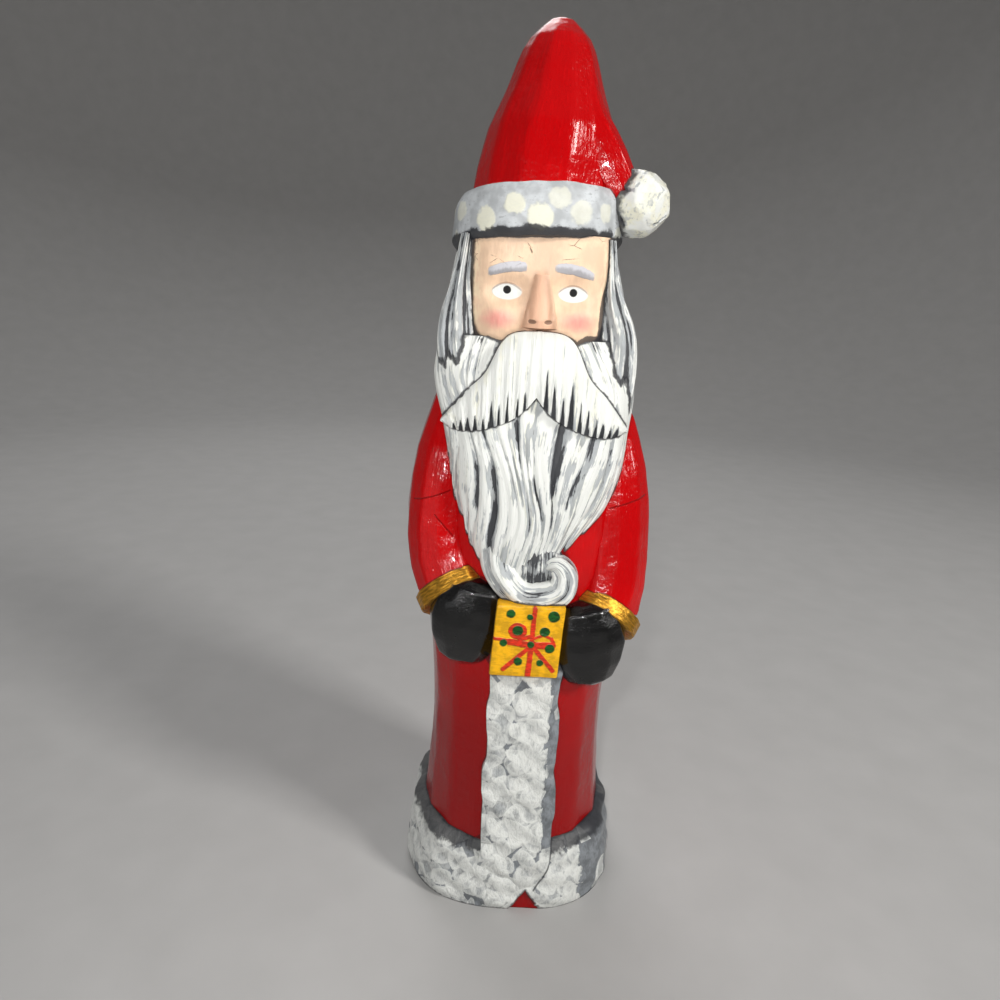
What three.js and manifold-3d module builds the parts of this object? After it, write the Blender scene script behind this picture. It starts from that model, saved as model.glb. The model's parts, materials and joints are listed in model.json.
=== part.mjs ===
// A folk carving of Santa, cut from one block of wood and painted. It stands on its flat underside.
// Millimetres. x runs across the figure, -y is its front and +z is up.
// The origin is the middle of the underside.
import * as THREE from "three";
import { mergeVertices } from "three/addons/utils/BufferGeometryUtils.js";
import Module from "manifold-3d";

// Driving dimensions
const height = 305; // underside to hat tip
const hemWidth = 82;
const hemDepth = 80;
const hemHeight = 28;
const hemLap = 1.6; // how far the fur hem stands off the coat at its foot
const skirtWidth = 66;
const skirtDepth = 69;
const chestWidth = 72;
const chestDepth = 66;
const shoulderHeight = 190;
const armReach = 42.8; // middle of the figure to the outside of an elbow
const sleeveWidth = 25;
const sleeveDepth = 29;
const cuffWidth = 6; // along the sleeve
const cuffLap = 1; // how far a cuff stands off its sleeve
const mittenLength = 35;
const mittenWidth = 30;
const mittenDepth = 19;
const presentWidth = 23.5;
const presentHeight = 26;
const presentDepth = 16;
const presentFoot = 97.5; // underside to the present
const presentMiddle = 0.8; // the present sits a little to one side
const furWidth = 25; // strip down the front
const furMiddle = 1.4; // the strip sits a little to one side
const furLap = 2.4; // how far the strip stands off the skirt
const notchHeight = 9; // split in the hem at its foot
const notchWidth = 15;
const brimWidth = 57;
const brimHeight = 15.5;
const brimLap = 4.5; // how far the brim stands off the hat
const brimFoot = 235.5; // underside to brim
const headShift = -2.6; // the head sits a little to one side
const hairWidth = 69;
const hairLength = 69; // from under the brim down the back
const faceWidth = 44;
const faceHeight = 31.5; // in sight under the brim
const faceFront = 25.5;
const socketDepth = 1.8;
const noseLength = 16;
const noseWidth = 11.5;
const noseRise = 6.5;
const moustacheWidth = 62;
const moustacheDrop = 32;
const moustacheLap = 3.6; // how far the moustache stands off the beard
const pompomSize = 21;
const beardTip = 119; // underside to the foot of the beard
const beardDepth = 36.2; // middle of the figure to the front of the beard
const lockDepth = 1.5; // grooves between locks of hair
const hairLocks = 24; // all round the head
const beardLocks = 28; // all round the beard, half of them in sight
const furDepth = 0.8; // lumps of the fur
const seamWidth = 0.06; // slivers thinner than this are merged where forms meet

const FORWARD = new THREE.Vector3(0, -1, 0);
const wasm = await Module();
wasm.setup();

// A smooth curve through [place, value] pairs, read at any place.
function profile(pairs) {
  const slope = (i) => {
    const a = pairs[Math.max(i - 1, 0)];
    const b = pairs[Math.min(i + 1, pairs.length - 1)];
    return (b[1] - a[1]) / (b[0] - a[0]);
  };
  return (place) => {
    const last = pairs.length - 1;
    if (place <= pairs[0][0]) return pairs[0][1];
    if (place >= pairs[last][0]) return pairs[last][1];
    const i = pairs.findIndex((pair) => pair[0] > place) - 1;
    const step = pairs[i + 1][0] - pairs[i][0];
    const t = (place - pairs[i][0]) / step;
    const rise = pairs[i][1] * (1 + 2 * t) * (1 - t) ** 2 + pairs[i + 1][1] * t * t * (3 - 2 * t);
    return rise + step * t * (1 - t) * (slope(i) * (1 - t) - slope(i + 1) * t);
  };
}

// A closed three.js geometry as a solid that can be joined and cut.
function solid(geometry) {
  const bare = geometry.clone();
  bare.deleteAttribute("normal");
  bare.deleteAttribute("uv");
  const merged = mergeVertices(bare, 1e-4);
  return new wasm.Manifold(
    new wasm.Mesh({
      numProp: 3,
      vertProperties: merged.getAttribute("position").array,
      triVerts: new Uint32Array(merged.index.array),
    }),
  );
}

// Moves each corner of a geometry to where place(corner) says.
function shaped(geometry, place) {
  const corners = geometry.getAttribute("position");
  const corner = new THREE.Vector3();
  for (let i = 0; i < corners.count; i++) {
    corner.fromBufferAttribute(corners, i);
    corners.setXYZ(i, ...place(corner).toArray());
  }
  return geometry;
}

// An upright drum of radius 1, from z = 0 to 1, whose corners are placed by turn, reach and rise.
function drum(around, rows, place) {
  const blank = new THREE.CylinderGeometry(1, 1, 1, around, rows);
  blank.rotateX(Math.PI / 2);
  return solid(
    shaped(blank, (corner) => {
      const turn = Math.atan2(corner.y, corner.x);
      return place(turn, Math.hypot(corner.x, corner.y), corner.z + 0.5);
    }),
  );
}

// One point of a rounded-square outline: wide across, front and back deep, square 2 is an ellipse.
function outline(turn, wide, front, back, square) {
  const c = Math.cos(turn);
  const s = Math.sin(turn);
  const size = (Math.abs(c) ** square + Math.abs(s) ** square) ** (-1 / square);
  return new THREE.Vector3(wide * c * size, (s < 0 ? front : back) * s * size, 0);
}

// An upright form. Its sizes are functions of z, relief adds depth, sway carries the corners round
// and crowd brings its rows closer together towards the top.
function upright(form) {
  const { foot, top, around, rows, x, y, wide, front, back, square, relief, sway, lift } = form;
  const crowd = form.crowd ?? 1;
  return drum(around, rows, (turn, reach, rise) => {
    const z = foot + (top - foot) * (1 - (1 - rise) ** crowd);
    const edge = outline(turn + (sway ? sway(turn, z) : 0), wide(z), front(z), back(z), square);
    if (relief && reach > 0.5) edge.setLength(edge.length() + relief(turn, z));
    const place = edge.multiplyScalar(reach).add(new THREE.Vector3(x(z), y(z), z));
    if (lift) place.z += lift(place);
    return place;
  });
}

// A form swept along a curve: across and deep are its half sizes at each share of the way.
function swept({ points, around, rows, across, deep, square = 2.2, relief }) {
  const curve = new THREE.CatmullRomCurve3(points.map((p) => new THREE.Vector3(...p)));
  return drum(around, rows, (turn, reach, rise) => {
    const along = curve.getTangentAt(rise);
    const side = new THREE.Vector3().crossVectors(FORWARD, along).normalize();
    const out = new THREE.Vector3().crossVectors(along, side);
    const edge = outline(turn, across(rise), deep(rise), deep(rise), square);
    if (relief && reach > 0.5) edge.setLength(edge.length() + relief(turn, rise));
    return curve
      .getPointAt(rise)
      .addScaledVector(side, edge.x * reach)
      .addScaledVector(out, edge.y * reach);
  });
}

const still = (value) => () => value;

// Places up the figure: shares of the height to the shoulders, of the hair, of the beard and of the face.
const torso = (share) => share * shoulderHeight;
const head = (share) => brimFoot - share * hairLength;
const chin = (share) => beardTip + share * (head(0.4) - beardTip);
const visage = (share) => brimFoot - share * faceHeight;

// Grooves between locks, counted round a form: 0 on a lock's crest and -1 in a groove.
const groove = (count, turn) => (Math.cos(count * (turn + Math.PI / 2)) - 1) / 2;

// A rounded lump of the given half sizes about a middle, 1 at the middle and 0 outside.
const bump = (dx, dz, halfX, halfZ) => Math.max(0, 1 - (dx / halfX) ** 2 - (dz / halfZ) ** 2) ** 1.5;

// A block with a shaped front: left, right and front give its sides and its front face.
function relieved({ foot, top, across, rows, left, right, front, back }) {
  const blank = new THREE.BoxGeometry(1, 1, 1, across, 1, rows);
  return solid(
    shaped(blank, (corner) => {
      const z = foot + (top - foot) * (corner.z + 0.5);
      const x = left(z) + (right(z) - left(z)) * (corner.x + 0.5);
      return new THREE.Vector3(x, corner.y < 0 ? -front(x, z, corner.x + 0.5) : -back, z);
    }),
  );
}

// The coat under everything: skirt, body and the slope of the shoulders.
function coat() {
  const wide = profile([
    [0, hemWidth / 2 - hemLap - 1], [hemHeight, skirtWidth / 2 + 2], [torso(0.24), skirtWidth / 2 + 0.7],
    [torso(0.34), skirtWidth / 2 - 0.6], [torso(0.47), skirtWidth / 2 + 0.6], [torso(0.63), chestWidth / 2],
    [torso(0.84), chestWidth / 2 - 1], [torso(0.95), chestWidth / 2 - 6], [torso(1), chestWidth * 0.3],
    [torso(1.04), chestWidth * 0.17],
  ]);
  const deep = profile([
    [0, hemDepth / 2 - hemLap], [hemHeight, skirtDepth / 2 + 1], [torso(0.32), skirtDepth / 2],
    [torso(0.5), skirtDepth / 2 - 0.5], [torso(0.68), chestDepth / 2], [torso(0.9), chestDepth / 2 - 3],
    [torso(1), chestDepth * 0.3], [torso(1.04), chestDepth * 0.15],
  ]);
  return upright({
    foot: 0, top: torso(1.04), around: 26, rows: 13,
    x: still(0), y: still(0), wide, front: deep, back: deep, square: 2.5,
    sway: (turn, z) => 0.05 * Math.sin(z * 0.05 + turn * 2),
  });
}

// The fur round the hem, split at the foot where its two ends lap.
function hem() {
  const flare = profile([
    [0, -1], [4, 0], [hemHeight * 0.6, -1.2],
    [hemHeight * 0.9, -3], [hemHeight, -6.5],
  ]);
  const band = upright({
    foot: 0, top: hemHeight, around: 48, rows: 7,
    x: still(0), y: still(0), square: 2.6,
    relief: (turn, z) => furDepth * Math.sin(11 * turn + z * 0.35) * Math.sin(z * 0.33),
    lift: ({ x, y, z }) => (z / hemHeight) * (0.05 * Math.abs(x) + 0.03 * y),
    wide: (z) => hemWidth / 2 + flare(z),
    front: (z) => hemDepth / 2 + flare(z),
    back: (z) => hemDepth / 2 + flare(z),
  });
  return band.subtract(notch());
}

// The inverted V at the foot of the lap.
function notch() {
  const apex = furRight(0) - 1.5;
  const cut = new THREE.Shape([
    new THREE.Vector2(apex - notchWidth * 0.45, -1),
    new THREE.Vector2(apex + notchWidth * 0.4, -1),
    new THREE.Vector2(apex, notchHeight),
  ]);
  const wedge = new THREE.ExtrudeGeometry(cut, { depth: 8 * hemLap, bevelEnabled: false });
  wedge.rotateX(Math.PI / 2);
  wedge.translate(0, -hemDepth / 2 + hemLap + 0.2, 0);
  return solid(wedge);
}

const furRight = profile([
  [0, furMiddle + furWidth * 0.26], [notchHeight, furMiddle + furWidth * 0.34],
  [hemHeight * 0.65, furMiddle + furWidth * 0.5],
  [hemHeight, furMiddle + furWidth * 0.54], [torso(0.32), furMiddle + furWidth * 0.5],
]);

// The fur strip down the front of the skirt. It laps over the hem on one side and runs into it
// on the other.
function furStrip() {
  const face = profile([
    [notchHeight - 1, hemDepth / 2 - 0.6], [hemHeight * 0.7, hemDepth / 2 + 0.4],
    [hemHeight * 1.4, skirtDepth / 2 + furLap + 0.8], [torso(0.4), skirtDepth / 2 + furLap],
  ]);
  return relieved({
    foot: notchHeight - 1, top: presentFoot + 4, across: 7, rows: 20, back: skirtDepth / 2 - 4,
    left: still(furMiddle - furWidth / 2), right: furRight,
    front: (x, z, share) => {
      const edge = 1.3 * (2 * share - 1) ** 6;
      const blend = z < hemHeight ? 0.9 * (1 - share) : 0;
      const tufts = Math.sin(x * 0.5 + z * 0.17) * Math.sin(z * 0.4 - x * 0.12);
      return face(z) - edge - blend + furDepth * tufts;
    },
  });
}

const presentFront = hemDepth / 2 + 0.7;

// The wrapped present held in front.
function present() {
  const bevel = 0.8;
  const half = presentWidth / 2 - bevel;
  const face = new THREE.Shape([
    new THREE.Vector2(-half - 0.4, bevel),
    new THREE.Vector2(half - 0.6, bevel),
    new THREE.Vector2(half + 0.6, presentHeight - bevel),
    new THREE.Vector2(-half + 1.2, presentHeight - bevel),
  ]);
  const box = new THREE.ExtrudeGeometry(face, {
    depth: presentDepth, bevelThickness: bevel, bevelSize: bevel, bevelSegments: 2,
  });
  box.rotateX(Math.PI / 2);
  box.translate(presentMiddle, -presentFront + presentDepth + bevel, presentFoot);
  return solid(box);
}

// Where an arm runs: shoulder, upper arm, elbow and wrist, then the middle of the mitten beside
// the present.
function arm(side, drop, grip, hold) {
  const reach = armReach - sleeveWidth / 2;
  const hand = [
    presentMiddle + side * (presentWidth / 2 + hold),
    mittenDepth / 2 + 0.7 - presentFront,
    presentFoot + grip * presentHeight,
  ];
  return {
    side,
    shoulder: [side * (reach - 4.2), -2, torso(0.976) - drop],
    upper: [side * (reach - 0.6), -8, torso(0.858) - drop],
    elbow: [side * reach, -15, torso(0.72) - drop],
    wrist: [hand[0] + side * 5.7, hand[1] + 7.5, hand[2] + 8.5],
    mitten: hand,
  };
}

const ARMS = [arm(-1, 0, 0.6, 8.6), arm(1, 4, 0.365, 9.7)];

// A sleeve from the shoulder to the wrist, cut with broad flats.
function sleeve({ shoulder, upper, elbow, wrist }) {
  return swept({
    points: [shoulder, upper, elbow, wrist], around: 16, rows: 9, square: 2.5,
    across: profile([
      [0, sleeveWidth * 0.36], [0.3, sleeveWidth * 0.46],
      [0.7, sleeveWidth * 0.5], [1, sleeveWidth * 0.49],
    ]),
    deep: profile([
      [0, sleeveDepth * 0.3], [0.3, sleeveDepth * 0.5],
      [0.7, sleeveDepth * 0.48], [1, sleeveDepth * 0.38],
    ]),
  });
}

// The gold band round the end of a sleeve.
function cuff({ wrist, mitten: hand }) {
  const start = new THREE.Vector3(...wrist);
  const along = new THREE.Vector3(...hand).sub(start).normalize();
  const at = (share) => start.clone().addScaledVector(along, share * cuffWidth).toArray();
  const points = [-0.3, 0.2, 0.7].map(at);
  return swept({
    points, around: 18, rows: 2, square: 2.4,
    across: still(sleeveWidth * 0.49 + cuffLap), deep: still(sleeveDepth * 0.38 + cuffLap),
  });
}

// A mitten cut with broad flats.
function mitten({ mitten: middle, side }) {
  const lean = side * 0.22;
  const ball = new THREE.SphereGeometry(1, 12, 8);
  return solid(
    shaped(ball, (corner) => {
      const p = new THREE.Vector3(corner.x, corner.z, corner.y);
      p.multiplyScalar(0.92 * Math.max(Math.abs(p.x), Math.abs(p.y), Math.abs(p.z)) ** -0.35);
      p.multiply(new THREE.Vector3(mittenWidth / 2, -mittenDepth / 2, mittenLength / 2));
      return p.applyAxisAngle(FORWARD, lean).add(new THREE.Vector3(...middle));
    }),
  );
}

const hairFoot = brimFoot + 3 - hairLength;
const headX = (z) => headShift * Math.min(1, Math.max(0, (z - head(0.66)) / (brimFoot - head(0.66))));

// The hair that falls all round the head to the shoulders, with its locks.
function hair() {
  const half = hairWidth / 2;
  const wide = profile([
    [hairFoot, half - 4], [head(0.85), half - 1.5], [head(0.67), half],
    [head(0.47), half], [head(0.28), half - 3],
    [head(0.09), half - 6], [head(-0.07), half - 9],
  ]);
  const back = profile([
    [hairFoot, half - 7.5], [head(0.86), half - 3], [head(0.59), half - 2],
    [head(0.3), half - 4.5], [head(-0.07), half - 8.5],
  ]);
  const front = profile([[head(0.66), half * 0.7], [head(0.46), half * 0.6], [head(0.34), half * 0.5]]);
  return upright({
    foot: hairFoot, top: brimFoot + 4, around: 2 * hairLocks, rows: 9, square: 2.3,
    x: headX, y: still(0), wide, front, back,
    relief: (turn) => lockDepth * groove(hairLocks, turn),
    sway: (turn, z) => 0.07 * Math.sin(z * 0.06 + turn * 3),
    lift: ({ x, z }) => (z < hairFoot + 1 ? 1.5 * Math.sin(x * 0.5) : 0),
  });
}

// The lock that frames the face on one side.
function sideLock(side) {
  const inner = faceWidth / 2;
  const points = [
    [headShift + side * (inner + 0.4), -14, brimFoot + 3],
    [headShift + side * (inner + 2.2), -15.5, head(0.2)],
    [headShift * 0.5 + side * (inner + 4), -17, head(0.4)],
    [side * (inner + 2.5), -20, head(0.66)],
    [side * (inner + 1), -22, head(0.83)],
  ];
  return swept({
    points, around: 12, rows: 8,
    across: profile([[0, 2.4], [0.2, 3.4], [0.4, 6], [0.55, 7], [0.8, 6.8], [1, 5]]),
    deep: profile([[0, 6], [0.5, 6.7], [1, 5]]),
    relief: (turn) => 0.6 * lockDepth * groove(6, turn),
  });
}

// How far forward the middle of the beard stands at each height.
const beardFront = profile([
  [chin(0.09), 0.94 * beardDepth], [chin(0.24), 0.994 * beardDepth], [chin(0.37), beardDepth],
  [chin(0.52), 0.978 * beardDepth], [chin(0.69), 0.912 * beardDepth], [chin(0.8), 0.843 * beardDepth],
  [chin(0.91), 0.746 * beardDepth], [chin(1), 0.663 * beardDepth],
]);

// The beard, from the cheeks to where its foot turns into the curl.
function beard() {
  const wide = profile([
    [chin(0.09), 9], [chin(0.13), 13], [chin(0.19), 17.4],
    [chin(0.25), 20.8], [chin(0.33), 24.3], [chin(0.4), 26.9],
    [chin(0.48), 28.6], [chin(0.6), 30.1], [chin(0.69), 31.2], [chin(0.85), 33], [chin(1), 30],
  ]);
  const x = profile([
    [chin(0.09), -7], [chin(0.13), -5], [chin(0.19), -3.4],
    [chin(0.25), -2.5], [chin(0.33), -0.9], [chin(0.4), 0],
    [chin(0.6), 0.5], [chin(1), headShift],
  ]);
  const middle = 18;
  return upright({
    foot: chin(0.09), top: chin(1), around: 2 * beardLocks, rows: 13, square: 2.3,
    x, y: still(-middle), wide, front: (z) => beardFront(z) - middle, back: still(16),
    relief: (turn) => (Math.sin(turn) < 0.3 ? lockDepth * groove(beardLocks, turn) : 0),
    sway: (turn, z) => 0.1 * Math.sin(z * 0.09 + turn * 3),
  });
}

// The foot of the beard, swept to one side and rolled up into a curl.
function curl() {
  const forward = (share) => -share * beardDepth;
  const points = [
    [-12.5, forward(0.79), beardTip + 22], [-9, forward(0.86), beardTip + 10.6],
    [-2, forward(0.91), beardTip + 5.6],
    [5.5, forward(0.93), beardTip + 5.6], [11.4, forward(0.94), beardTip + 8.6],
    [12.3, forward(0.94), beardTip + 13.6],
    [9.6, forward(0.93), beardTip + 17], [6.8, forward(0.88), beardTip + 16],
  ];
  return swept({
    points, around: 12, rows: 20,
    across: profile([[0, 6.6], [0.3, 6], [0.55, 5.2], [0.75, 5.8], [0.9, 4.6], [1, 2.6]]),
    deep: profile([[0, 6], [0.3, 5.6], [0.75, 6.2], [1, 3.6]]),
    relief: (turn) => 0.5 * lockDepth * groove(6, turn),
  });
}

// The hair left standing inside the curl.
function curlBed() {
  const ball = new THREE.SphereGeometry(1, 16, 10);
  ball.rotateX(Math.PI / 2);
  ball.scale(9.5, 6.5, 10);
  ball.translate(3, 6.2 - beardDepth, beardTip + 15.5);
  return solid(ball);
}

// How far forward the middle of the moustache stands at each height.
const moustacheFront = profile([
  [chin(0.66), beardFront(chin(0.66)) + moustacheLap], [chin(0.8), beardFront(chin(0.8)) + moustacheLap],
  [chin(0.91), faceFront + noseRise + 0.8], [chin(1), faceFront + noseRise - 1],
  [chin(1.03), faceFront + noseRise - 3],
]);

// One half of the moustache, from under the nose out to its drooping end.
function moustache(side) {
  const top = head(0.362);
  const reach = moustacheWidth / 2;
  const middle = -0.8;
  const crest = profile([[0, 0], [0.28, 0.03], [0.4, 0.13], [0.55, 0.42], [0.75, 0.62], [1, 0.92]]);
  const foot = profile([[0, 0.6], [0.14, 0.76], [0.3, 0.87], [0.6, 0.98], [0.85, 1], [1, 0.94]]);
  const blank = new THREE.BoxGeometry(1, 1, 1, 16, 1, 6);
  return solid(
    shaped(blank, (corner) => {
      const along = side * corner.x + 0.5;
      const up = corner.z + 0.5;
      const x = middle + side * (along * reach - 0.6);
      const z = top - moustacheDrop * (foot(along) * (1 - up) + crest(along) * up);
      const crown = 1 - (2 * up - 1) ** 4;
      const hairs = 0.5 * lockDepth * (1 + groove(8, along * 2 * Math.PI));
      const front = moustacheFront(z) - 0.011 * x ** 2 + crown - hairs;
      return new THREE.Vector3(x, corner.y < 0 ? -front : -front + 12, z);
    }),
  );
}

// The carved face under the brim, with brow, sockets and cheeks.
function face() {
  const half = faceWidth / 2;
  const middle = headShift + 1.2;
  const dip = profile([
    [visage(1), 1.6], [visage(0.84), 0.4], [visage(0.68), 0],
    [visage(0.52), 0.5], [visage(0.4), 0.8], [visage(0.24), 0],
    [visage(0.08), 0.3], [visage(-0.14), 1.2],
  ]);
  return relieved({
    foot: visage(1), top: visage(-0.13), across: 14, rows: 14, back: 10,
    left: still(middle - half), right: still(middle + half),
    front: (x, z) => {
      const out = Math.abs(x - middle);
      const sockets = bump(out - faceWidth * 0.23, z - visage(0.41), 8, 6);
      const cheeks = bump(out - faceWidth * 0.27, z - visage(0.71), 9, 7);
      return faceFront - dip(z) - 6.5 * ((x - middle) / half) ** 4 - socketDepth * sockets + cheeks;
    },
  });
}

// The wedge of the nose, broad at its foot.
function nose() {
  const middle = headShift + 1.6;
  const top = visage(0.254);
  const half = (z) => (noseWidth / 2) * (1 - 0.6 * ((z - top + noseLength) / noseLength));
  return relieved({
    foot: top - noseLength, top, across: 4, rows: 6, back: faceFront - 4,
    left: (z) => middle - half(z), right: (z) => middle + half(z),
    front: (x, z, share) => {
      const fall = (z - top + noseLength) / noseLength;
      const tip = Math.max(0.35, 1 - 2.6 * (share - 0.5) ** 2);
      return faceFront - 0.8 + noseRise * (1 - 0.75 * fall) * tip - 1.6 * Math.max(0, 0.15 - fall) / 0.15;
    },
  });
}

// The brim rises to the front and towards the pompom.
const brimLean = ({ x, y }) => -0.13 * y + 0.04 * x;

// The fur brim of the hat.
function brim() {
  const edge = profile([[0, -1.6], [0.14, 0], [0.8, -0.6], [1, -2.2]]);
  const size = (z) => brimWidth / 2 + edge((z - brimFoot) / brimHeight);
  return upright({
    foot: brimFoot, top: brimFoot + brimHeight, around: 40, rows: 5, square: 2.15,
    x: still(headShift), y: still(0), wide: size, front: size, back: size, lift: brimLean,
  });
}

const hatFoot = brimFoot + brimHeight - 3;
const hatRise = height - hatFoot;

// The tall pointed hat, cut with broad flats and rounded over at its tip.
function hat() {
  const base = brimWidth / 2 - brimLap;
  const share = profile([
    [0, 1], [0.25, 0.93], [0.35, 0.88], [0.46, 0.82],
    [0.56, 0.71], [0.67, 0.61], [0.77, 0.53], [0.87, 0.43],
    [0.92, 0.33], [0.95, 0.255], [0.975, 0.185], [0.99, 0.12], [1, 0.03],
  ]);
  const size = (z) => base * share((z - hatFoot) / hatRise);
  return upright({
    foot: hatFoot, top: height, around: 16, rows: 13, square: 2.1, crowd: 1.5,
    x: profile([[hatFoot, headShift + 1], [hatFoot + 0.45 * hatRise, 0], [height, 1.2]]), y: still(0),
    wide: size, front: size, back: size,
    sway: (turn, z) => 0.06 * Math.sin(z * 0.08 + turn * 2),
    lift: ({ x, y, z }) => brimLean({ x, y }) * Math.max(0, 1 - (z - hatFoot) / (hatRise * 0.5)),
  });
}

const pompomMiddle = [brimWidth / 2 + headShift + 2.4, -10, brimFoot + brimHeight];

// The end of the hat, folded down one side to the pompom.
function tail() {
  const [px, py, pz] = pompomMiddle;
  const points = [
    [3, -2, height - 7], [6.5, -5, height - 17], [10, -8, height - 30],
    [16, -10, pz + 14], [px - 5, py, pz + 2],
  ];
  return swept({
    points, around: 10, rows: 9, square: 3,
    across: profile([[0, 3], [0.3, 6], [0.7, 7], [1, 6]]), deep: profile([[0, 3], [0.4, 6], [1, 7]]),
  });
}

// The pompom, a ball cut with small flats.
function pompom() {
  const ball = new THREE.IcosahedronGeometry(pompomSize / 2, 2);
  const flats = (p) => Math.sin(p.x * 0.9 + 1) * Math.sin(p.y * 0.8) * Math.cos(p.z * 0.7);
  shaped(ball, (p) => p.multiplyScalar(1 + 0.05 * flats(p)));
  ball.translate(...pompomMiddle);
  return solid(ball);
}

// Everything is one piece of wood, so the forms are joined into one solid.
function figure() {
  const arms = ARMS.flatMap((arm) => [sleeve(arm), cuff(arm), mitten(arm)]);
  const head = [hair(), sideLock(-1), sideLock(1), face(), nose(), moustache(-1), moustache(1)];
  const whiskers = [beard(), curl(), curlBed()];
  const cap = [brim(), hat(), tail(), pompom()];
  const forms = [coat(), hem(), furStrip(), present(), ...arms, ...head, ...whiskers, ...cap];
  const joined = forms.reduce((whole, form) => whole.add(form));
  // Small pockets between the forms are filled by keeping the outer skin alone.
  const [carved] = joined.decompose().sort((a, b) => b.volume() - a.volume());
  const { vertProperties, triVerts } = carved.simplify(seamWidth).getMesh();
  const geometry = new THREE.BufferGeometry();
  geometry.setAttribute("position", new THREE.BufferAttribute(vertProperties, 3));
  geometry.setIndex(new THREE.BufferAttribute(triVerts, 1));
  geometry.computeVertexNormals();
  return geometry;
}

const paint = new THREE.MeshStandardMaterial({ color: 0xb01015, roughness: 0.3, metalness: 0 });
const santa = new THREE.Mesh(figure(), paint);
santa.name = "carved_santa";
const carving = new THREE.Group();
carving.add(santa);

export default carving;
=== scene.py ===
"""A folk carving of Santa, cut from one block of wood and painted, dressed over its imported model.

Lengths inside the carving functions are millimetres: x runs across the figure, -y is its front, +z is up.
"""
import functools
import json
import math
from contextlib import contextmanager

import bmesh
import bpy
import numpy as np
from mathutils import Matrix, Vector
from mathutils.kdtree import KDTree

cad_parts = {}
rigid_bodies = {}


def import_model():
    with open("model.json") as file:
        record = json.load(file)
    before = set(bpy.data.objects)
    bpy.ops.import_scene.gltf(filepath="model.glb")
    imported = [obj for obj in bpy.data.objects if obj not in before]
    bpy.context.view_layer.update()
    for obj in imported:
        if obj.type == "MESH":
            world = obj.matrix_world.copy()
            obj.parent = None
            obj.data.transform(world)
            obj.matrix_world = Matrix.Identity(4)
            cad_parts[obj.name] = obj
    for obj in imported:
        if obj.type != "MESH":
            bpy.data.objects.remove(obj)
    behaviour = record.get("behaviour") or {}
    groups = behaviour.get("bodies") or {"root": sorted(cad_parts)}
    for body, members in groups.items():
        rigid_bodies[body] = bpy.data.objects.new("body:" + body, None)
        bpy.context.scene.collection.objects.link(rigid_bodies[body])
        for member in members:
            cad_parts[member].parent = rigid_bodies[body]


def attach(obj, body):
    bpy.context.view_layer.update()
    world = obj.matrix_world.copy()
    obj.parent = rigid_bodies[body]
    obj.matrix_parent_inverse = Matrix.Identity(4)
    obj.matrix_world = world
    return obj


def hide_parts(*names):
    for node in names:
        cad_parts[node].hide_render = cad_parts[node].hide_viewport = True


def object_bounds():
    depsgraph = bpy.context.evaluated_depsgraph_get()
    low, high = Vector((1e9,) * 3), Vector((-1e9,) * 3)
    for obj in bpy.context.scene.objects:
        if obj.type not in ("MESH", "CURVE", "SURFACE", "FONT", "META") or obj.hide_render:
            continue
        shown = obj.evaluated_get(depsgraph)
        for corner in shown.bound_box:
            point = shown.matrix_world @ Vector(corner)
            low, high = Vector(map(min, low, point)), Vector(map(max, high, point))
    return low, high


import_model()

bl_info = {
    "name": "Carved Santa",
    "version": (1, 0, 0),
    "blender": (4, 5, 0),
    "location": "View3D > Sidebar > Carving",
    "description": "Carves and paints a folk Santa from one block of wood",
    "category": "Add Mesh",
}

MM = 0.001
FRAME_BOX = [list(corner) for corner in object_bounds()]
NODE = "carved_santa"
FORMS = "carving forms"
TAU = 2 * math.pi
FORWARD = np.array([0.0, -1.0, 0.0])

# Limits for joining, shading and telling edges and faces apart
SMOOTH_BELOW = math.radians(38)
MERGE_WITHIN = 0.004 * MM
ALONG_AXIS = 0.99
FACES_DOWN = -0.95
UNDERSIDE_BAND = 0.3 * MM

# Factors that scramble a place on a grid into noise
SCRAMBLE = (127.1, 311.7, 74.7)
SCRAMBLE_SEED = 53.3
SCRAMBLE_SPREAD = 43758.5453

# Sizes that follow from the way the figure is cut, in millimetres
HEM_LAP = 1.6
SLEEVE_WIDTH = 25
SLEEVE_DEPTH = 29
CUFF_WIDTH = 6
CUFF_LAP = 1
MITTEN_DEPTH = 19
PRESENT_FOOT = 97.5
PRESENT_MIDDLE = 0.8
FUR_MIDDLE = 1.4
FUR_LAP = 2.4
NOTCH_HEIGHT = 9
NOTCH_WIDTH = 15
BRIM_LAP = 4.5
BRIM_HEIGHT = 15.5
HEAD_SHIFT = -2.6
BRIM_ROUND = 28.5
FACE_HEIGHT = 31.5
FACE_FRONT = 25.5
SOCKET_DEPTH = 1.8
NOSE_WIDTH = 11.5
NOSE_RISE = 6.5
MOUSTACHE_DROP = 32
MOUSTACHE_LAP = 3.6
BEARD_DEPTH = 36.2
HAIR_LOCKS = 24
BEARD_LOCKS = 28
FUR_DEPTH = 0.8
POMPOM_FLATS = 22

# Places on the painted face, across from its middle and up
FACE_MIDDLE = HEAD_SHIFT + 1.2
EYE_APART = 10.4
EYE_HEIGHT = 222.0
BROW_HEIGHT = 229.3
NOSE_FOOT = 213.0
CHEEK = (12.6, 213.6)

# Half the width over which the edge of a painted stroke fades, in millimetres
STROKE_SOFT = 0.25

# Knife cuts in the sleeves: where each starts and ends, across and up, and its half width
SLEEVE_CUTS = (
    ((-39.7, 152.5), (-27.4, 156.6), 0.16), ((-32.2, 148.4), (-25.5, 142.0), 0.16),
    ((26.9, 153.6), (38.8, 157.1), 0.16),
)

# The dark line where the fur strip laps over the hem, as strokes like the cuts
LAP_LINE = (
    ((15.1, 26.5), (14.7, 21.0), 0.32), ((14.7, 21.0), (12.6, 14.5), 0.32), ((12.6, 14.5), (9.4, 9.0), 0.32),
)

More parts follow.
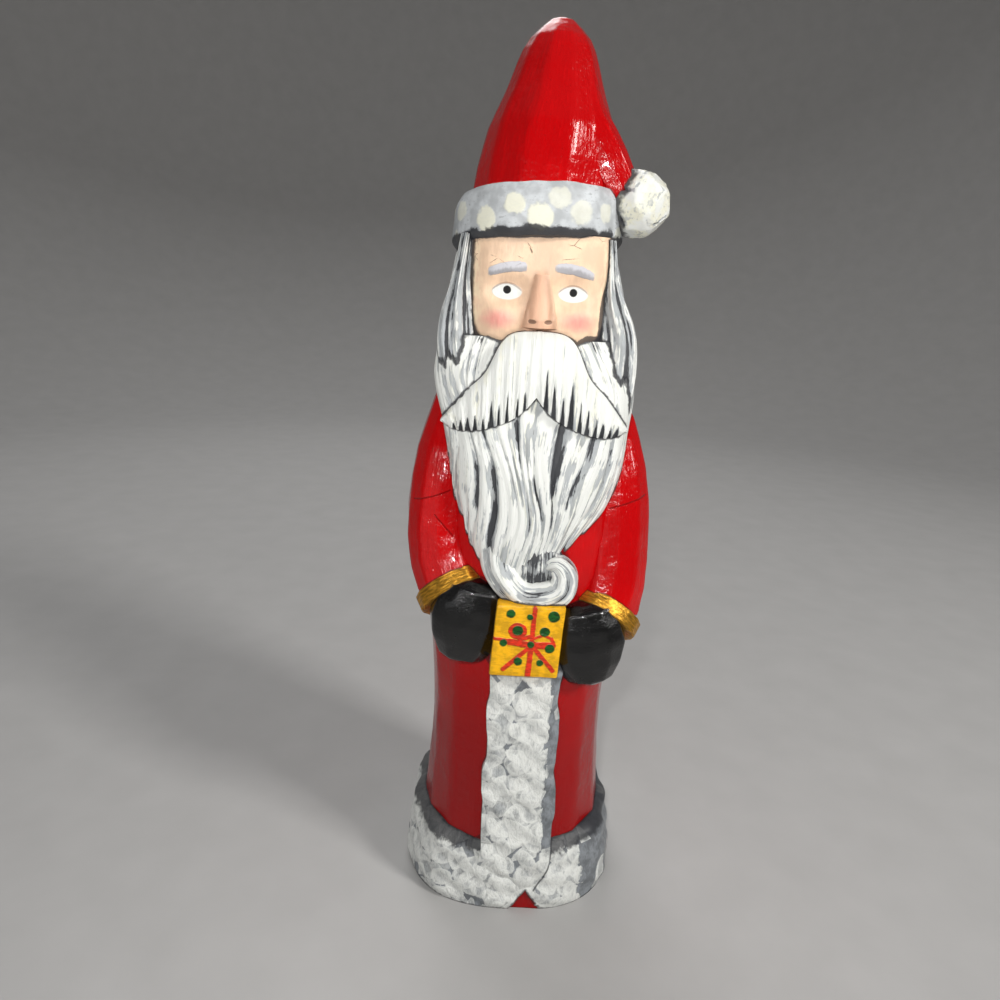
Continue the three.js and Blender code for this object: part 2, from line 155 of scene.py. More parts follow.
# The layers of dabs on the fur: width, height, shift and lean of each
FUR_DABS = ((6.4, 9.4, 0.0, 0.6), (5.6, 8.4, 7.3, -0.7), (6.2, 9.0, 3.1, 1.0), (5.2, 7.6, 11.7, -0.2))

# Dabs on the front of the brim: across, up, radius and strength
BRIM_DABS = (
    (-27.2, 245.6, 3.0, 0.6), (-28.6, 237.6, 2.2, 0.6), (-19.0, 242.9, 3.5, 0.95), (-10.9, 247.6, 3.1, 0.95),
    (-3.1, 244.0, 3.9, 0.95), (2.9, 250.0, 3.2, 0.6), (9.6, 246.0, 3.5, 0.6), (17.0, 246.6, 2.7, 0.6),
    (22.4, 240.8, 2.6, 0.6),
)

# How far apart the dabs are round the back of the brim
REAR_DAB_STEP = 13.0

# The ribbon and bow on the present, as strokes that mostly meet at the knot, and its dots with their radius
KNOT = (2.6, 109.4)
RIBBON = (
    ((2.9, 122.6), (2.4, 109.4), 0.85), ((2.4, 109.4), (1.7, 97.0), 0.95), (KNOT, (-6.5, 100.4), 0.8),
    (KNOT, (10.0, 100.6), 0.8), ((-10.4, 111.4), (-4.0, 110.6), 0.6), ((-5.0, 110.4), KNOT, 1.2),
    (KNOT, (9.4, 109.8), 1.25), ((3.2, 112.0), (6.2, 113.4), 0.5), ((6.2, 113.4), (9.0, 112.2), 0.45),
    ((9.0, 112.2), (9.9, 110.2), 0.6), ((-1.6, 111.4), (2.0, 112.6), 0.8),
)
PRESENT_DOTS = (
    (-4.9, 120.6, 1.5), (1.4, 119.6, 1.1), (9.2, 120.2, 2.0), (-2.3, 114.6, 1.8), (6.6, 114.6, 1.7),
    (-6.9, 109.9, 1.3), (2.2, 109.7, 1.2), (8.6, 108.6, 1.6), (-1.7, 103.4, 1.5), (5.6, 103.2, 1.2),
)

# The stage, in metres: each light's place, target, size, power and colour, then the world, floor and camera
LIGHTS = {
    "near light": ((-0.03, -0.3, 0.27), (0, 0, 0.17), 0.014, 0.52, (1.0, 0.99, 0.97)),
    "key light": ((0.75, -0.5, 0.75), (0, 0, 0.17), 0.2, 7.0, (1.0, 0.98, 0.95)),
    "fill light": ((-0.55, -0.85, 0.27), (0, 0, 0.15), 0.7, 0.9, (0.98, 0.99, 1.0)),
    "back light": ((-0.2, 0.75, 1.1), (0, 0, 0.2), 0.6, 6.0, (1.0, 1.0, 1.0)),
}
WORLD_GREY = 0.95
WORLD_STRENGTH = 0.17
FLOOR_RADIUS = 1.0
FLOOR_SWEEP = 0.7
WALL_TOP = 2.0
VIEWPOINT = (-0.0105, -0.267, 0.224)
CAMERA_TIP = 74
CAMERA_ROLL = 3
LENS = 27.04
SENSOR = 36


# ---------------------------------------------------------------- sizes and colours

def length(name, description, size):
    """A size in metres that defaults to so many millimetres."""
    return bpy.props.FloatProperty(
        name=name, description=description, default=size * MM, min=0.1 * MM, unit="LENGTH", precision=4,
    )


def paint_colour(name, description, red, green, blue):
    """A paint colour, given as it looks on a screen from 0 to 255."""
    return bpy.props.FloatVectorProperty(
        name=name, description=description, size=3, min=0, max=1, subtype="COLOR",
        default=[linear(part) for part in (red, green, blue)],
    )


def linear(part):
    """A screen value from 0 to 255 as linear light."""
    part /= 255
    return part / 12.92 if part <= 0.04045 else ((part + 0.055) / 1.055) ** 2.4


class CarvingSizes(bpy.types.PropertyGroup):
    """The sizes of the carving."""

    height: length("Height", "From the underside to the tip of the hat", 305)
    hem_width: length("Hem width", "Across the fur hem", 82)
    hem_depth: length("Hem depth", "Front to back of the fur hem", 80)
    hem_height: length("Hem height", "Height of the fur hem", 28)
    skirt_width: length("Skirt width", "Across the skirt of the coat", 66)
    skirt_depth: length("Skirt depth", "Front to back of the skirt", 69)
    chest_width: length("Chest width", "Across the body under the arms", 72)
    chest_depth: length("Chest depth", "Front to back of the body", 66)
    shoulder_height: length("Shoulder height", "From the underside to the shoulders", 190)
    arm_reach: length("Arm reach", "From the middle of the figure to the outside of an elbow", 42.8)
    mitten_length: length("Mitten length", "Length of a mitten", 35)
    mitten_width: length("Mitten width", "Width of a mitten", 30)
    present_width: length("Present width", "Across the front of the present", 23.5)
    present_height: length("Present height", "Height of the present", 26)
    present_depth: length("Present depth", "Front to back of the present", 16)
    fur_width: length("Fur strip width", "Across the fur strip down the front", 25)
    brim_width: length("Brim width", "Across the fur brim of the hat", 57)
    brim_height: length("Brim height", "Height of the fur brim", BRIM_HEIGHT)
    brim_foot: length("Brim foot", "From the underside to the foot of the brim", 235.5)
    hair_width: length("Hair width", "Across the hair at its widest", 69)
    hair_length: length("Hair length", "From under the brim down the back", 69)
    face_width: length("Face width", "Across the carved face", 44)
    nose_length: length("Nose length", "Length of the nose", 16)
    moustache_width: length("Moustache width", "Across both ends of the moustache", 62)
    beard_tip: length("Beard tip", "From the underside to the foot of the beard", 119)
    pompom_size: length("Pompom size", "Across the pompom", 21)
    lock_depth: length("Lock depth", "Depth of the grooves between locks of hair", 1.5)


class PaintColours(bpy.types.PropertyGroup):
    """The paints on the carving."""

    red: paint_colour("Red", "Coat and hat", 202, 3, 8)
    white: paint_colour("White", "Hair, beard and fur", 236, 238, 234)
    cream: paint_colour("Cream", "Dabs on the brim and warm strokes in the hair", 236, 235, 216)
    grey: paint_colour("Grey", "Under the white strokes", 136, 141, 146)
    charcoal: paint_colour("Charcoal", "Grooves and outlines", 44, 45, 50)
    frost: paint_colour("Frost", "Pale ground of the brim", 196, 200, 203)
    flesh: paint_colour("Flesh", "The face", 250, 214, 182)
    nose: paint_colour("Nose", "The nose", 214, 168, 140)
    blush: paint_colour("Blush", "The cheeks", 240, 146, 140)
    brow: paint_colour("Brow", "The eyebrows", 176, 177, 184)
    gold: paint_colour("Gold", "The cuffs", 205, 150, 52)
    black: paint_colour("Black", "The mittens and the pupils", 10, 10, 11)
    yellow: paint_colour("Yellow", "The wrapping of the present", 240, 178, 10)
    ribbon: paint_colour("Ribbon", "The ribbon on the present", 204, 26, 16)
    green: paint_colour("Green", "The dots on the present", 12, 84, 22)
    wood: paint_colour("Wood", "The bare underside", 206, 170, 120)


class Plan:
    """The sizes of the carving in millimetres and the places worked out from them."""

    def __init__(self, sizes):
        for name in CarvingSizes.__annotations__:
            setattr(self, name, getattr(sizes, name) / MM)
        self.present_front = self.hem_depth / 2 + 0.7
        self.hair_foot = self.brim_foot + 3 - self.hair_length
        self.fur_right = profile(
            (0, FUR_MIDDLE + self.fur_width * 0.26), (NOTCH_HEIGHT, FUR_MIDDLE + self.fur_width * 0.34),
            (self.hem_height * 0.65, FUR_MIDDLE + self.fur_width * 0.5),
            (self.hem_height, FUR_MIDDLE + self.fur_width * 0.54),
            (self.torso(0.32), FUR_MIDDLE + self.fur_width * 0.5),
        )
        self.beard_front = profile(*[(self.chin(share), front * BEARD_DEPTH) for share, front in (
            (0.09, 0.94), (0.24, 0.994), (0.37, 1), (0.52, 0.978), (0.69, 0.912), (0.8, 0.843), (0.91, 0.746),
            (1, 0.663),
        )])
        beard = self.beard_front
        self.moustache_front = profile(
            (self.chin(0.66), beard(self.chin(0.66)) + MOUSTACHE_LAP),
            (self.chin(0.8), beard(self.chin(0.8)) + MOUSTACHE_LAP),
            (self.chin(0.91), FACE_FRONT + NOSE_RISE + 0.8), (self.chin(1), FACE_FRONT + NOSE_RISE - 1),
            (self.chin(1.03), FACE_FRONT + NOSE_RISE - 3),
        )
        self.pompom_middle = (self.brim_width / 2 + HEAD_SHIFT + 2.4, -10, self.brim_foot + self.brim_height)

    def torso(self, share):
        """A place up the body, as a share of the height to the shoulders."""
        return share * self.shoulder_height

    def head(self, share):
        """A place down the hair, as a share of its length."""
        return self.brim_foot - share * self.hair_length

    def chin(self, share):
        """A place up the beard, as a share of its length."""
        return self.beard_tip + share * (self.head(0.4) - self.beard_tip)

    def visage(self, share):
        """A place down the face, as a share of its height in sight."""
        return self.brim_foot - share * FACE_HEIGHT

    def head_x(self, z):
        """How far to one side the head leans at each height."""
        return HEAD_SHIFT * np.clip((z - self.head(0.66)) / (self.brim_foot - self.head(0.66)), 0, 1)

    def arm(self, side, drop, grip, hold):
        """Where an arm runs: shoulder, upper arm, elbow and wrist, then the middle of the mitten."""
        reach = self.arm_reach - SLEEVE_WIDTH / 2
        hand = (
            PRESENT_MIDDLE + side * (self.present_width / 2 + hold), MITTEN_DEPTH / 2 + 0.7 - self.present_front,
            PRESENT_FOOT + grip * self.present_height,
        )
        wrist = (hand[0] + side * 5.7, hand[1] + 7.5, hand[2] + 8.5)
        points = [
            (side * (reach - 4.2), -2, self.torso(0.976) - drop), (side * (reach - 0.6), -8, self.torso(0.858) - drop),
            (side * reach, -15, self.torso(0.72) - drop), wrist,
        ]
        return points, hand


# ---------------------------------------------------------------- curves and noise

def profile(*pairs):
    """A smooth curve through (place, value) pairs, read at any place."""
    places, values = np.array(pairs, float).T
    slopes = np.gradient(values)
    slopes[0] = (values[1] - values[0]) / (places[1] - places[0])
    slopes[-1] = (values[-1] - values[-2]) / (places[-1] - places[-2])
    slopes[1:-1] = (values[2:] - values[:-2]) / (places[2:] - places[:-2])

    def read(place):
        place = np.clip(place, places[0], places[-1])
        i = np.clip(np.searchsorted(places, place, side="right") - 1, 0, len(places) - 2)
        step = places[i + 1] - places[i]
        t = (place - places[i]) / step
        rise = values[i] * (1 + 2 * t) * (1 - t) ** 2 + values[i + 1] * t * t * (3 - 2 * t)
        return rise + step * t * (1 - t) * (slopes[i] * (1 - t) - slopes[i + 1] * t)

    return read


def still(value):
    """A curve that keeps one value."""
    return lambda place: np.full(np.shape(place), float(value))


def noise(u, v, w=0.0, seed=0, wrap=None):
    """Smooth noise from -1 to 1 over up to three places; u may repeat after wrap steps."""
    cells = [np.floor(np.asarray(part, float)) for part in (u, v, w)]
    parts = [np.asarray(part, float) - cell for part, cell in zip((u, v, w), cells)]
    parts = [part * part * (3 - 2 * part) for part in parts]
    total = 0.0
    for corner in np.ndindex(2, 2, 2):
        i, j, k = (cell + step for cell, step in zip(cells, corner))
        if wrap:
            i = np.mod(i, wrap)
        place = sum(step * factor for step, factor in zip((i, j, k), SCRAMBLE))
        value = np.sin(place + seed * SCRAMBLE_SEED) * SCRAMBLE_SPREAD
        share = 1.0
        for part, step in zip(parts, corner):
            share = share * (part if step else 1 - part)
        total = total + share * (2 * (value - np.floor(value)) - 1)
    return total


def groove(places, sharp=1.4):
    """0 on the crest of a lock, at whole places, down to -1 in the cut between two."""
    return -np.abs(2 * (places - np.round(places))) ** sharp


def bump(dx, dz, half_x, half_z):
    """A rounded lump, 1 at its middle and 0 outside its half sizes."""
    return np.maximum(0, 1 - (dx / half_x) ** 2 - (dz / half_z) ** 2) ** 1.5


def outline(turn, wide, front, back, square):
    """A point of a rounded-square outline; square 2 is an ellipse."""
    c, s = np.cos(turn), np.sin(turn)
    size = (np.abs(c) ** square + np.abs(s) ** square) ** (-1 / square)
    return wide * c * size, np.where(s < 0, front, back) * s * size


class Course:
    """A smooth curve through points, read by the share of its length."""

    def __init__(self, points):
        points = np.array(points, float)
        ends = np.vstack([2 * points[0] - points[1], points, 2 * points[-1] - points[-2]])
        samples = []
        for p0, p1, p2, p3 in zip(ends, ends[1:], ends[2:], ends[3:]):
            d0, d1, d2 = (max(np.sum((b - a) ** 2), 1e-9) ** 0.25 for a, b in ((p0, p1), (p1, p2), (p2, p3)))
            t1 = ((p1 - p0) / d0 - (p2 - p0) / (d0 + d1) + (p2 - p1) / d1) * d1
            t2 = ((p2 - p1) / d1 - (p3 - p1) / (d1 + d2) + (p3 - p2) / d2) * d1
            t = np.linspace(0, 1, 60, endpoint=False)[:, None]
            samples.append(
                p1 + t1 * t + (3 * (p2 - p1) - 2 * t1 - t2) * t ** 2 + (2 * (p1 - p2) + t1 + t2) * t ** 3
            )
        self.samples = np.vstack(samples + [points[-1:]])
        steps = np.linalg.norm(np.diff(self.samples, axis=0), axis=1)
        self.lengths = np.concatenate([[0], np.cumsum(steps)])
        self.length = self.lengths[-1]

    def at(self, share):
        place = np.clip(share, 0, 1) * self.length
        return np.stack([np.interp(place, self.lengths, self.samples[:, k]) for k in range(3)], axis=-1)

    def way(self, share):
        ahead, behind = self.at(np.asarray(share) + 0.004), self.at(np.asarray(share) - 0.004)
        along = ahead - behind
        return along / np.linalg.norm(along, axis=-1, keepdims=True)


# ---------------------------------------------------------------- blanks and their cutting

def fresh():
    """Nothing selected and object mode, ready for a new blank."""
    if bpy.context.object and bpy.context.object.mode != "OBJECT":
        bpy.ops.object.mode_set(mode="OBJECT")
    bpy.ops.object.select_all(action="DESELECT")


def pick(form):
    """Selects one form only and makes it the active one."""
    fresh()
    form.select_set(True)
    bpy.context.view_layer.objects.active = form


@contextmanager
def editing(form):
    """Edit mode on one form with all of it selected, and object mode again at the end."""
    pick(form)
    bpy.ops.object.mode_set(mode="EDIT")
    bpy.ops.mesh.select_all(action="SELECT")
    yield
    bpy.ops.object.mode_set(mode="OBJECT")


def select_edges(form, wanted):
    """Selects the edges that pass a test, on a form in edit mode."""
    bpy.ops.mesh.select_mode(type="EDGE")
    bpy.ops.mesh.select_all(action="DESELECT")
    mesh = bmesh.from_edit_mesh(form.data)
    for edge in mesh.edges:
        if wanted(edge):
            edge.select_set(True)
    bmesh.update_edit_mesh(form.data)


def cut_rows(blank, axis, rows):
    """Cuts the edges that run along one axis so that they make so many rows."""
    def along(edge):
        return abs((edge.verts[1].co - edge.verts[0].co).normalized()[axis]) > ALONG_AXIS

    if rows > 1:
        with editing(blank):
            select_edges(blank, along)
            bpy.ops.mesh.subdivide(number_cuts=rows - 1)


def new_blank(name, add, **settings):
    """A new blank made by one of the operators that add a mesh."""
    fresh()
    add(calc_uvs=False, **settings)
    blank = bpy.context.object
    blank.name = name
    return blank


def drum(name, around, rows):
    """An upright drum of radius 1 cut into rows, with each corner's turn, reach and share of the height."""
    blank = new_blank(
        name, bpy.ops.mesh.primitive_cylinder_add, vertices=around, radius=1, depth=1, end_fill_type="TRIFAN",
    )
    cut_rows(blank, 2, rows)
    x, y, z = corners_of(blank).T
    return blank, np.arctan2(y, x), np.minimum(np.hypot(x, y), 1), z + 0.5


def block(name, across, rows):
    """A cube cut into columns and rows."""
    blank = new_blank(name, bpy.ops.mesh.primitive_cube_add, size=1)
    cut_rows(blank, 0, across)
    cut_rows(blank, 2, rows)
    return blank


def read(items, name):
    """One whole number of every item of a mesh."""
    values = np.empty(len(items), int)
    items.foreach_get(name, values)
    return values


def corners_of(blank, name="co"):
    """The places of a mesh's corners, or another vector that they have, one row each."""
    rows = np.empty(len(blank.data.vertices) * 3)
    blank.data.vertices.foreach_get(name, rows)
    return rows.reshape(-1, 3)


def move_corners(blank, places):
    """Puts the corners of a mesh at places given in millimetres."""
    blank.data.vertices.foreach_set("co", (np.asarray(places) * MM).ravel())
    blank.data.update()


def spread(mesh, values, turn=False):
    """Values of the vertices for each face corner; a turn is carried on past its seam."""
    values = values[read(mesh.loops, "vertex_index")]
    if turn:
        highest = np.maximum.reduceat(values, read(mesh.polygons, "loop_start"))
        highest = np.repeat(highest, read(mesh.polygons, "loop_total"))
        values = values + TAU * (highest - values > math.pi)
    return values


def mark(blank, across, along, depth, rise, turn_radius=None):
    """Keeps on the mesh where each corner lies along the strokes and how deep it is cut."""
    mesh = blank.data
    across = spread(mesh, across, turn=bool(turn_radius)) * (turn_radius or 1)
    for name, first, second in (
        ("flow", across, spread(mesh, along)), ("carve", spread(mesh, depth), spread(mesh, rise)),
    ):
        layer = mesh.uv_layers.new(name=name)
        layer.uv.foreach_set("vector", np.stack([first, second], axis=-1).astype(np.float32).ravel())


def keep(blank, finish):
    """Puts a finished form in the carving with its paint."""
    blank.data.materials.clear()
    blank.data.materials.append(finish)
    forms = bpy.data.collections.get(FORMS) or bpy.data.collections.new(FORMS)
    if forms.name not in bpy.context.scene.collection.children:
        bpy.context.scene.collection.children.link(forms)
    for collection in list(blank.users_collection):
        collection.objects.unlink(blank)
    forms.objects.link(blank)
    return blank


def soften(blank, cuts):
    """Divides the flats of a form and eases the edges between them."""
    with editing(blank):
        bpy.ops.mesh.subdivide(number_cuts=cuts)
        bpy.ops.mesh.vertices_smooth(factor=0.5, repeat=1)


def turn_out(blank):
    """Turns every face of a closed form outwards."""
    with editing(blank):
        bpy.ops.mesh.normals_make_consistent(inside=False)


def whittle(blank, depth, size, seed, foot=None):
    """Takes uneven shavings off a form, never more than depth deep, and keeps a foot flat."""
    places = corners_of(blank) / MM
    take = depth * (0.5 + 0.5 * noise(*(places / size).T, seed=seed))
    if foot is not None:
        take = take * np.clip((places[:, 2] - foot) / 2, 0, 1)
    move_corners(blank, places - corners_of(blank, "normal") * take[:, None])


def relief_size(x, y, reach, depth):
    """How much larger relief makes an outline at each corner; corners inside a cap are moved in by their reach."""
    return np.where(reach > 0.5, 1 + depth / np.maximum(np.hypot(x, y), 1), 1) * reach


def upright(name, finish, foot, top, around, rows, wide, front, back, square,
            x=still(0), y=0, relief=None, sway=None, lift=None, start=0.0, crowd=1.0):
    """An upright form whose sizes are curves of z.

    Relief adds depth, sway carries corners round, lift raises them, start is the turn where the strokes begin,
    and crowd above 1 puts the rows closer together near the top.
    """
    blank, turn, reach, rise = drum(name, around, rows)
    z = foot + (top - foot) * (1 - (1 - rise) ** crowd)
    ex, ey = outline(turn + (sway(turn, z) if sway else 0), wide(z), front(z), back(z), square)
    depth = relief(turn, z) if relief else np.zeros(len(z))
    size = relief_size(ex, ey, reach, depth)
    ex, ey = ex * size + x(z), ey * size + y
    move_corners(blank, np.stack([ex, ey, z + (lift(ex, ey, z) if lift else 0)], axis=-1))
    mark(blank, (turn - start) % TAU, z, -depth, rise, turn_radius=float(np.mean(wide(z))))
    return keep(blank, finish)


def swept(name, finish, points, around, rows, across, deep, square=2.2, relief=None):
    """A form swept along a curve; across and deep are its half sizes at each share of the way."""
    blank, turn, reach, rise = drum(name, around, rows)
    course = Course(points)
    along = course.way(rise)
    side = np.cross(FORWARD, along)
    side /= np.linalg.norm(side, axis=1, keepdims=True)
    out = np.cross(along, side)
    ex, ey = outline(turn, across(rise), deep(rise), deep(rise), square)
    depth = relief(turn, rise) if relief else np.zeros(len(turn))
    size = relief_size(ex, ey, reach, depth)
    places = course.at(rise) + side * (ex * size)[:, None] + out * (ey * size)[:, None]
    move_corners(blank, places)
    radius = float(np.mean(across(rise)))
    mark(blank, turn % TAU, rise * course.length, -depth, rise, turn_radius=radius)
    return keep(blank, finish)


def relieved(name, finish, foot, top, across, rows, left, right, front, back, rise=1.0):
    """A block whose front has a shape; front gives its face and its cut depth at x, z and each share across."""
    blank = block(name, across, rows)
    px, py, pz = corners_of(blank).T
    z = foot + (top - foot) * (pz + 0.5)
    x = left(z) + (right(z) - left(z)) * (px + 0.5)
    face, depth = front(x, z, px + 0.5)
    move_corners(blank, np.stack([x, np.where(py < 0, -face, -back), z], axis=-1))
    mark(blank, x, z, depth, (pz + 0.5) * rise)
    keep(blank, finish)
    turn_out(blank)


def join_by(base, other, operation):
    """Joins or cuts one form by another, which is used up."""
    fresh()
    bpy.context.view_layer.objects.active = base
    modifier = base.modifiers.new("join", "BOOLEAN")
    modifier.operation = operation
    modifier.solver = "MANIFOLD"
    modifier.material_mode = "TRANSFER"
    modifier.object = other
    bpy.ops.object.modifier_apply(modifier=modifier.name)
    bpy.data.objects.remove(other)


# ---------------------------------------------------------------- coat, hem and fur strip

def carve_coat(plan, finish):
    """The coat under everything, cut with broad upright flats."""
    torso = plan.torso
    skirt, chest = plan.skirt_width / 2, plan.chest_width / 2
    wide = profile(
        (0, plan.hem_width / 2 - HEM_LAP - 1), (plan.hem_height, skirt + 2), (torso(0.24), skirt + 0.7),
        (torso(0.34), skirt - 0.6), (torso(0.47), skirt + 0.6), (torso(0.63), chest), (torso(0.84), chest - 1),
        (torso(0.95), chest - 6), (torso(1), chest * 0.6), (torso(1.04), chest * 0.34),
    )
    skirt, chest = plan.skirt_depth / 2, plan.chest_depth / 2
    deep = profile(
        (0, plan.hem_depth / 2 - HEM_LAP), (plan.hem_height, skirt + 1), (torso(0.32), skirt),
        (torso(0.5), skirt - 0.5), (torso(0.68), chest), (torso(0.9), chest - 3), (torso(1), chest * 0.6),
        (torso(1.04), chest * 0.3),
    )
    coat = upright(
        "coat", finish, 0, torso(1.04), 18, 11, wide, deep, deep, 2.4,
        sway=lambda turn, z: 0.05 * np.sin(z * 0.05 + turn * 2), start=-math.pi / 2,
    )
    soften(coat, 4)
    whittle(coat, 0.5, 8, 3, foot=0)


def carve_hem(plan, finish, under):
    """The fur round the hem, split at the foot where its two ends lap."""
    foot, top = 0, plan.hem_height
    flare = profile((0, -1), (4, 0), (top * 0.6, -1.2), (top * 0.9, -3), (top, -6.5))

    def size(width):
        return lambda z: width / 2 + flare(z)

    def relief(turn, z):
        lumps = FUR_DEPTH * np.sin(11 * turn + z * 0.35) * np.sin(z * 0.33)
        tufts = 0.35 * noise(turn / TAU * 96, z * 0.3, seed=5, wrap=96) - 0.35
        return lumps + tufts * np.clip(z / 2, 0, 1)

    lap = math.atan2(-plan.hem_depth / 2, plan.fur_right(0) + 4)
    hem = upright(
        "hem", finish, foot, top, 216, 20, size(plan.hem_width), size(plan.hem_depth), size(plan.hem_depth), 2.6,
        relief=relief, lift=lambda x, y, z: (z / top) * (0.05 * np.abs(x) + 0.03 * y), start=lap,
    )
    apex = plan.fur_right(0) - 1.5
    corners = {0: (apex, NOTCH_HEIGHT), 1: (apex - NOTCH_WIDTH * 0.45, -1), 2: (apex + NOTCH_WIDTH * 0.4, -1)}
    notch, turn, reach, rise = drum("notch", 3, 1)
    third = np.round((turn - math.pi / 2) / (TAU / 3)).astype(int) % 3
    places = np.array([corners[k] for k in third])
    middle = np.mean(list(corners.values()), axis=0)
    places = np.where(reach[:, None] < 0.5, middle, places)
    y = -plan.hem_depth / 2 + HEM_LAP + 0.2 - 8 * HEM_LAP * rise
    move_corners(notch, np.stack([places[:, 0], y, places[:, 1]], axis=-1))
    mark(notch, places[:, 0], places[:, 1], np.zeros(len(y)), rise)
    keep(notch, under)
    turn_out(notch)
    join_by(hem, notch, "DIFFERENCE")


def carve_strip(plan, finish):
    """The fur strip down the front of the skirt, which laps over the hem on one side."""
    skirt, hem = plan.skirt_depth / 2, plan.hem_depth / 2
    face = profile(
        (NOTCH_HEIGHT - 1, hem - 0.6), (plan.hem_height * 0.7, hem + 0.4),
        (plan.hem_height * 1.4, skirt + FUR_LAP + 0.8), (plan.torso(0.4), skirt + FUR_LAP),
    )

    def front(x, z, share):
        edge = 1.3 * (2 * share - 1) ** 6
        blend = np.where(z < plan.hem_height, 0.9 * (1 - share), 0)
        lumps = FUR_DEPTH * np.sin(x * 0.5 + z * 0.17) * np.sin(z * 0.4 - x * 0.12)
        tufts = 0.3 - 0.3 * noise(x * 0.45, z * 0.3, seed=8)
        return face(z) - edge - blend + lumps - tufts, tufts - lumps

    relieved(
        "fur_strip", finish, NOTCH_HEIGHT - 1, PRESENT_FOOT + 4, 26, 92,
        lambda z: FUR_MIDDLE - plan.fur_width / 2 + 0.9 * noise(z * 0.16, 3.1, seed=33),
        lambda z: plan.fur_right(z) + 0.9 * noise(z * 0.14, 5.3, seed=34), front, skirt - 4, rise=0.7,
    )


# ---------------------------------------------------------------- arms

def carve_sleeve(side, points, finish):
    """A sleeve from the shoulder to the wrist, cut with broad flats."""
    sleeve = swept(
        f"sleeve_{side}", finish, points, 12, 7,
        profile(*[(s, SLEEVE_WIDTH * w) for s, w in ((0, 0.36), (0.3, 0.46), (0.7, 0.5), (1, 0.49))]),
        profile(*[(s, SLEEVE_DEPTH * w) for s, w in ((0, 0.3), (0.3, 0.5), (0.7, 0.48), (1, 0.38))]), square=2.5,
    )
    soften(sleeve, 4)
    whittle(sleeve, 0.5, 6, 11 + len(side))


def carve_cuff(side, wrist, hand, finish):
    """The gold band round the end of a sleeve."""
    start = np.array(wrist, float)
    along = np.array(hand, float) - start
    along /= np.linalg.norm(along)
    points = [start + along * share * CUFF_WIDTH for share in (-0.3, 0.2, 0.7)]
    cuff = swept(
        f"cuff_{side}", finish, points, 18, 3, still(SLEEVE_WIDTH * 0.49 + CUFF_LAP),
        still(SLEEVE_DEPTH * 0.38 + CUFF_LAP), square=2.4,
    )
    soften(cuff, 3)
    whittle(cuff, 0.25, 2.5, 21)


def carve_mitten(plan, side, way, hand, finish):
    """A mitten cut with broad flats."""
    mitten = new_blank(
        f"mitten_{side}", bpy.ops.mesh.primitive_uv_sphere_add, segments=12, ring_count=8, radius=1,
    )
    ball = corners_of(mitten)
    ball *= (0.92 * np.max(np.abs(ball), axis=1) ** -0.35)[:, None]
    x, y, z = (ball * (plan.mitten_width / 2, MITTEN_DEPTH / 2, plan.mitten_length / 2)).T
    below = np.clip(-z / plan.mitten_length, 0, 0.5)
    x = x * (1 - 0.5 * below) - way * 3 * below
    lean = -way * 0.22
    x, z = x * math.cos(lean) + z * math.sin(lean), z * math.cos(lean) - x * math.sin(lean)
    move_corners(mitten, np.stack([x + hand[0], y + hand[1], z + hand[2]], axis=-1))
    mark(mitten, x, z, np.zeros(len(x)), z / plan.mitten_length + 0.5)
    keep(mitten, finish)
    soften(mitten, 5)
    whittle(mitten, 0.7, 5, 31)


# ---------------------------------------------------------------- present

def carve_present(plan, finish):
    """The wrapped present held in front, a block with its edges taken off."""
    depth, height = plan.present_depth + 1.6, plan.present_height
    half = plan.present_width / 2
    present = new_blank(
        "present", bpy.ops.mesh.primitive_cube_add, size=1,
        scale=(plan.present_width * MM, depth * MM, height * MM),
        location=(PRESENT_MIDDLE * MM, (depth / 2 - plan.present_front) * MM, (PRESENT_FOOT + height / 2) * MM),
    )
    bpy.ops.object.transform_apply(location=True, rotation=True, scale=True)
    slant = {(0, 0): -0.4, (1, 0): -0.6, (1, 1): 0.6, (0, 1): 1.2}
    for corner in present.data.vertices:
        right = int(corner.co.x > PRESENT_MIDDLE * MM)
        upper = int(corner.co.z > (PRESENT_FOOT + height / 2) * MM)
        corner.co.x = (PRESENT_MIDDLE + (half if right else -half) + slant[right, upper]) * MM
    with editing(present):
        bpy.ops.mesh.bevel(offset=0.8 * MM, segments=2)
        select_edges(present, lambda edge: edge.calc_length() > 3 * MM)
        bpy.ops.mesh.subdivide(number_cuts=17)
    x, _, z = (corners_of(present) / MM).T
    mark(present, x, z, np.zeros(len(x)), (z - PRESENT_FOOT) / height)
    keep(present, finish)
    whittle(present, 0.25, 5, 41)


# ---------------------------------------------------------------- hair and beard

def round_share(turn):
    """The share of the way round, from the middle of the front."""
    return (turn + math.pi / 2) / TAU


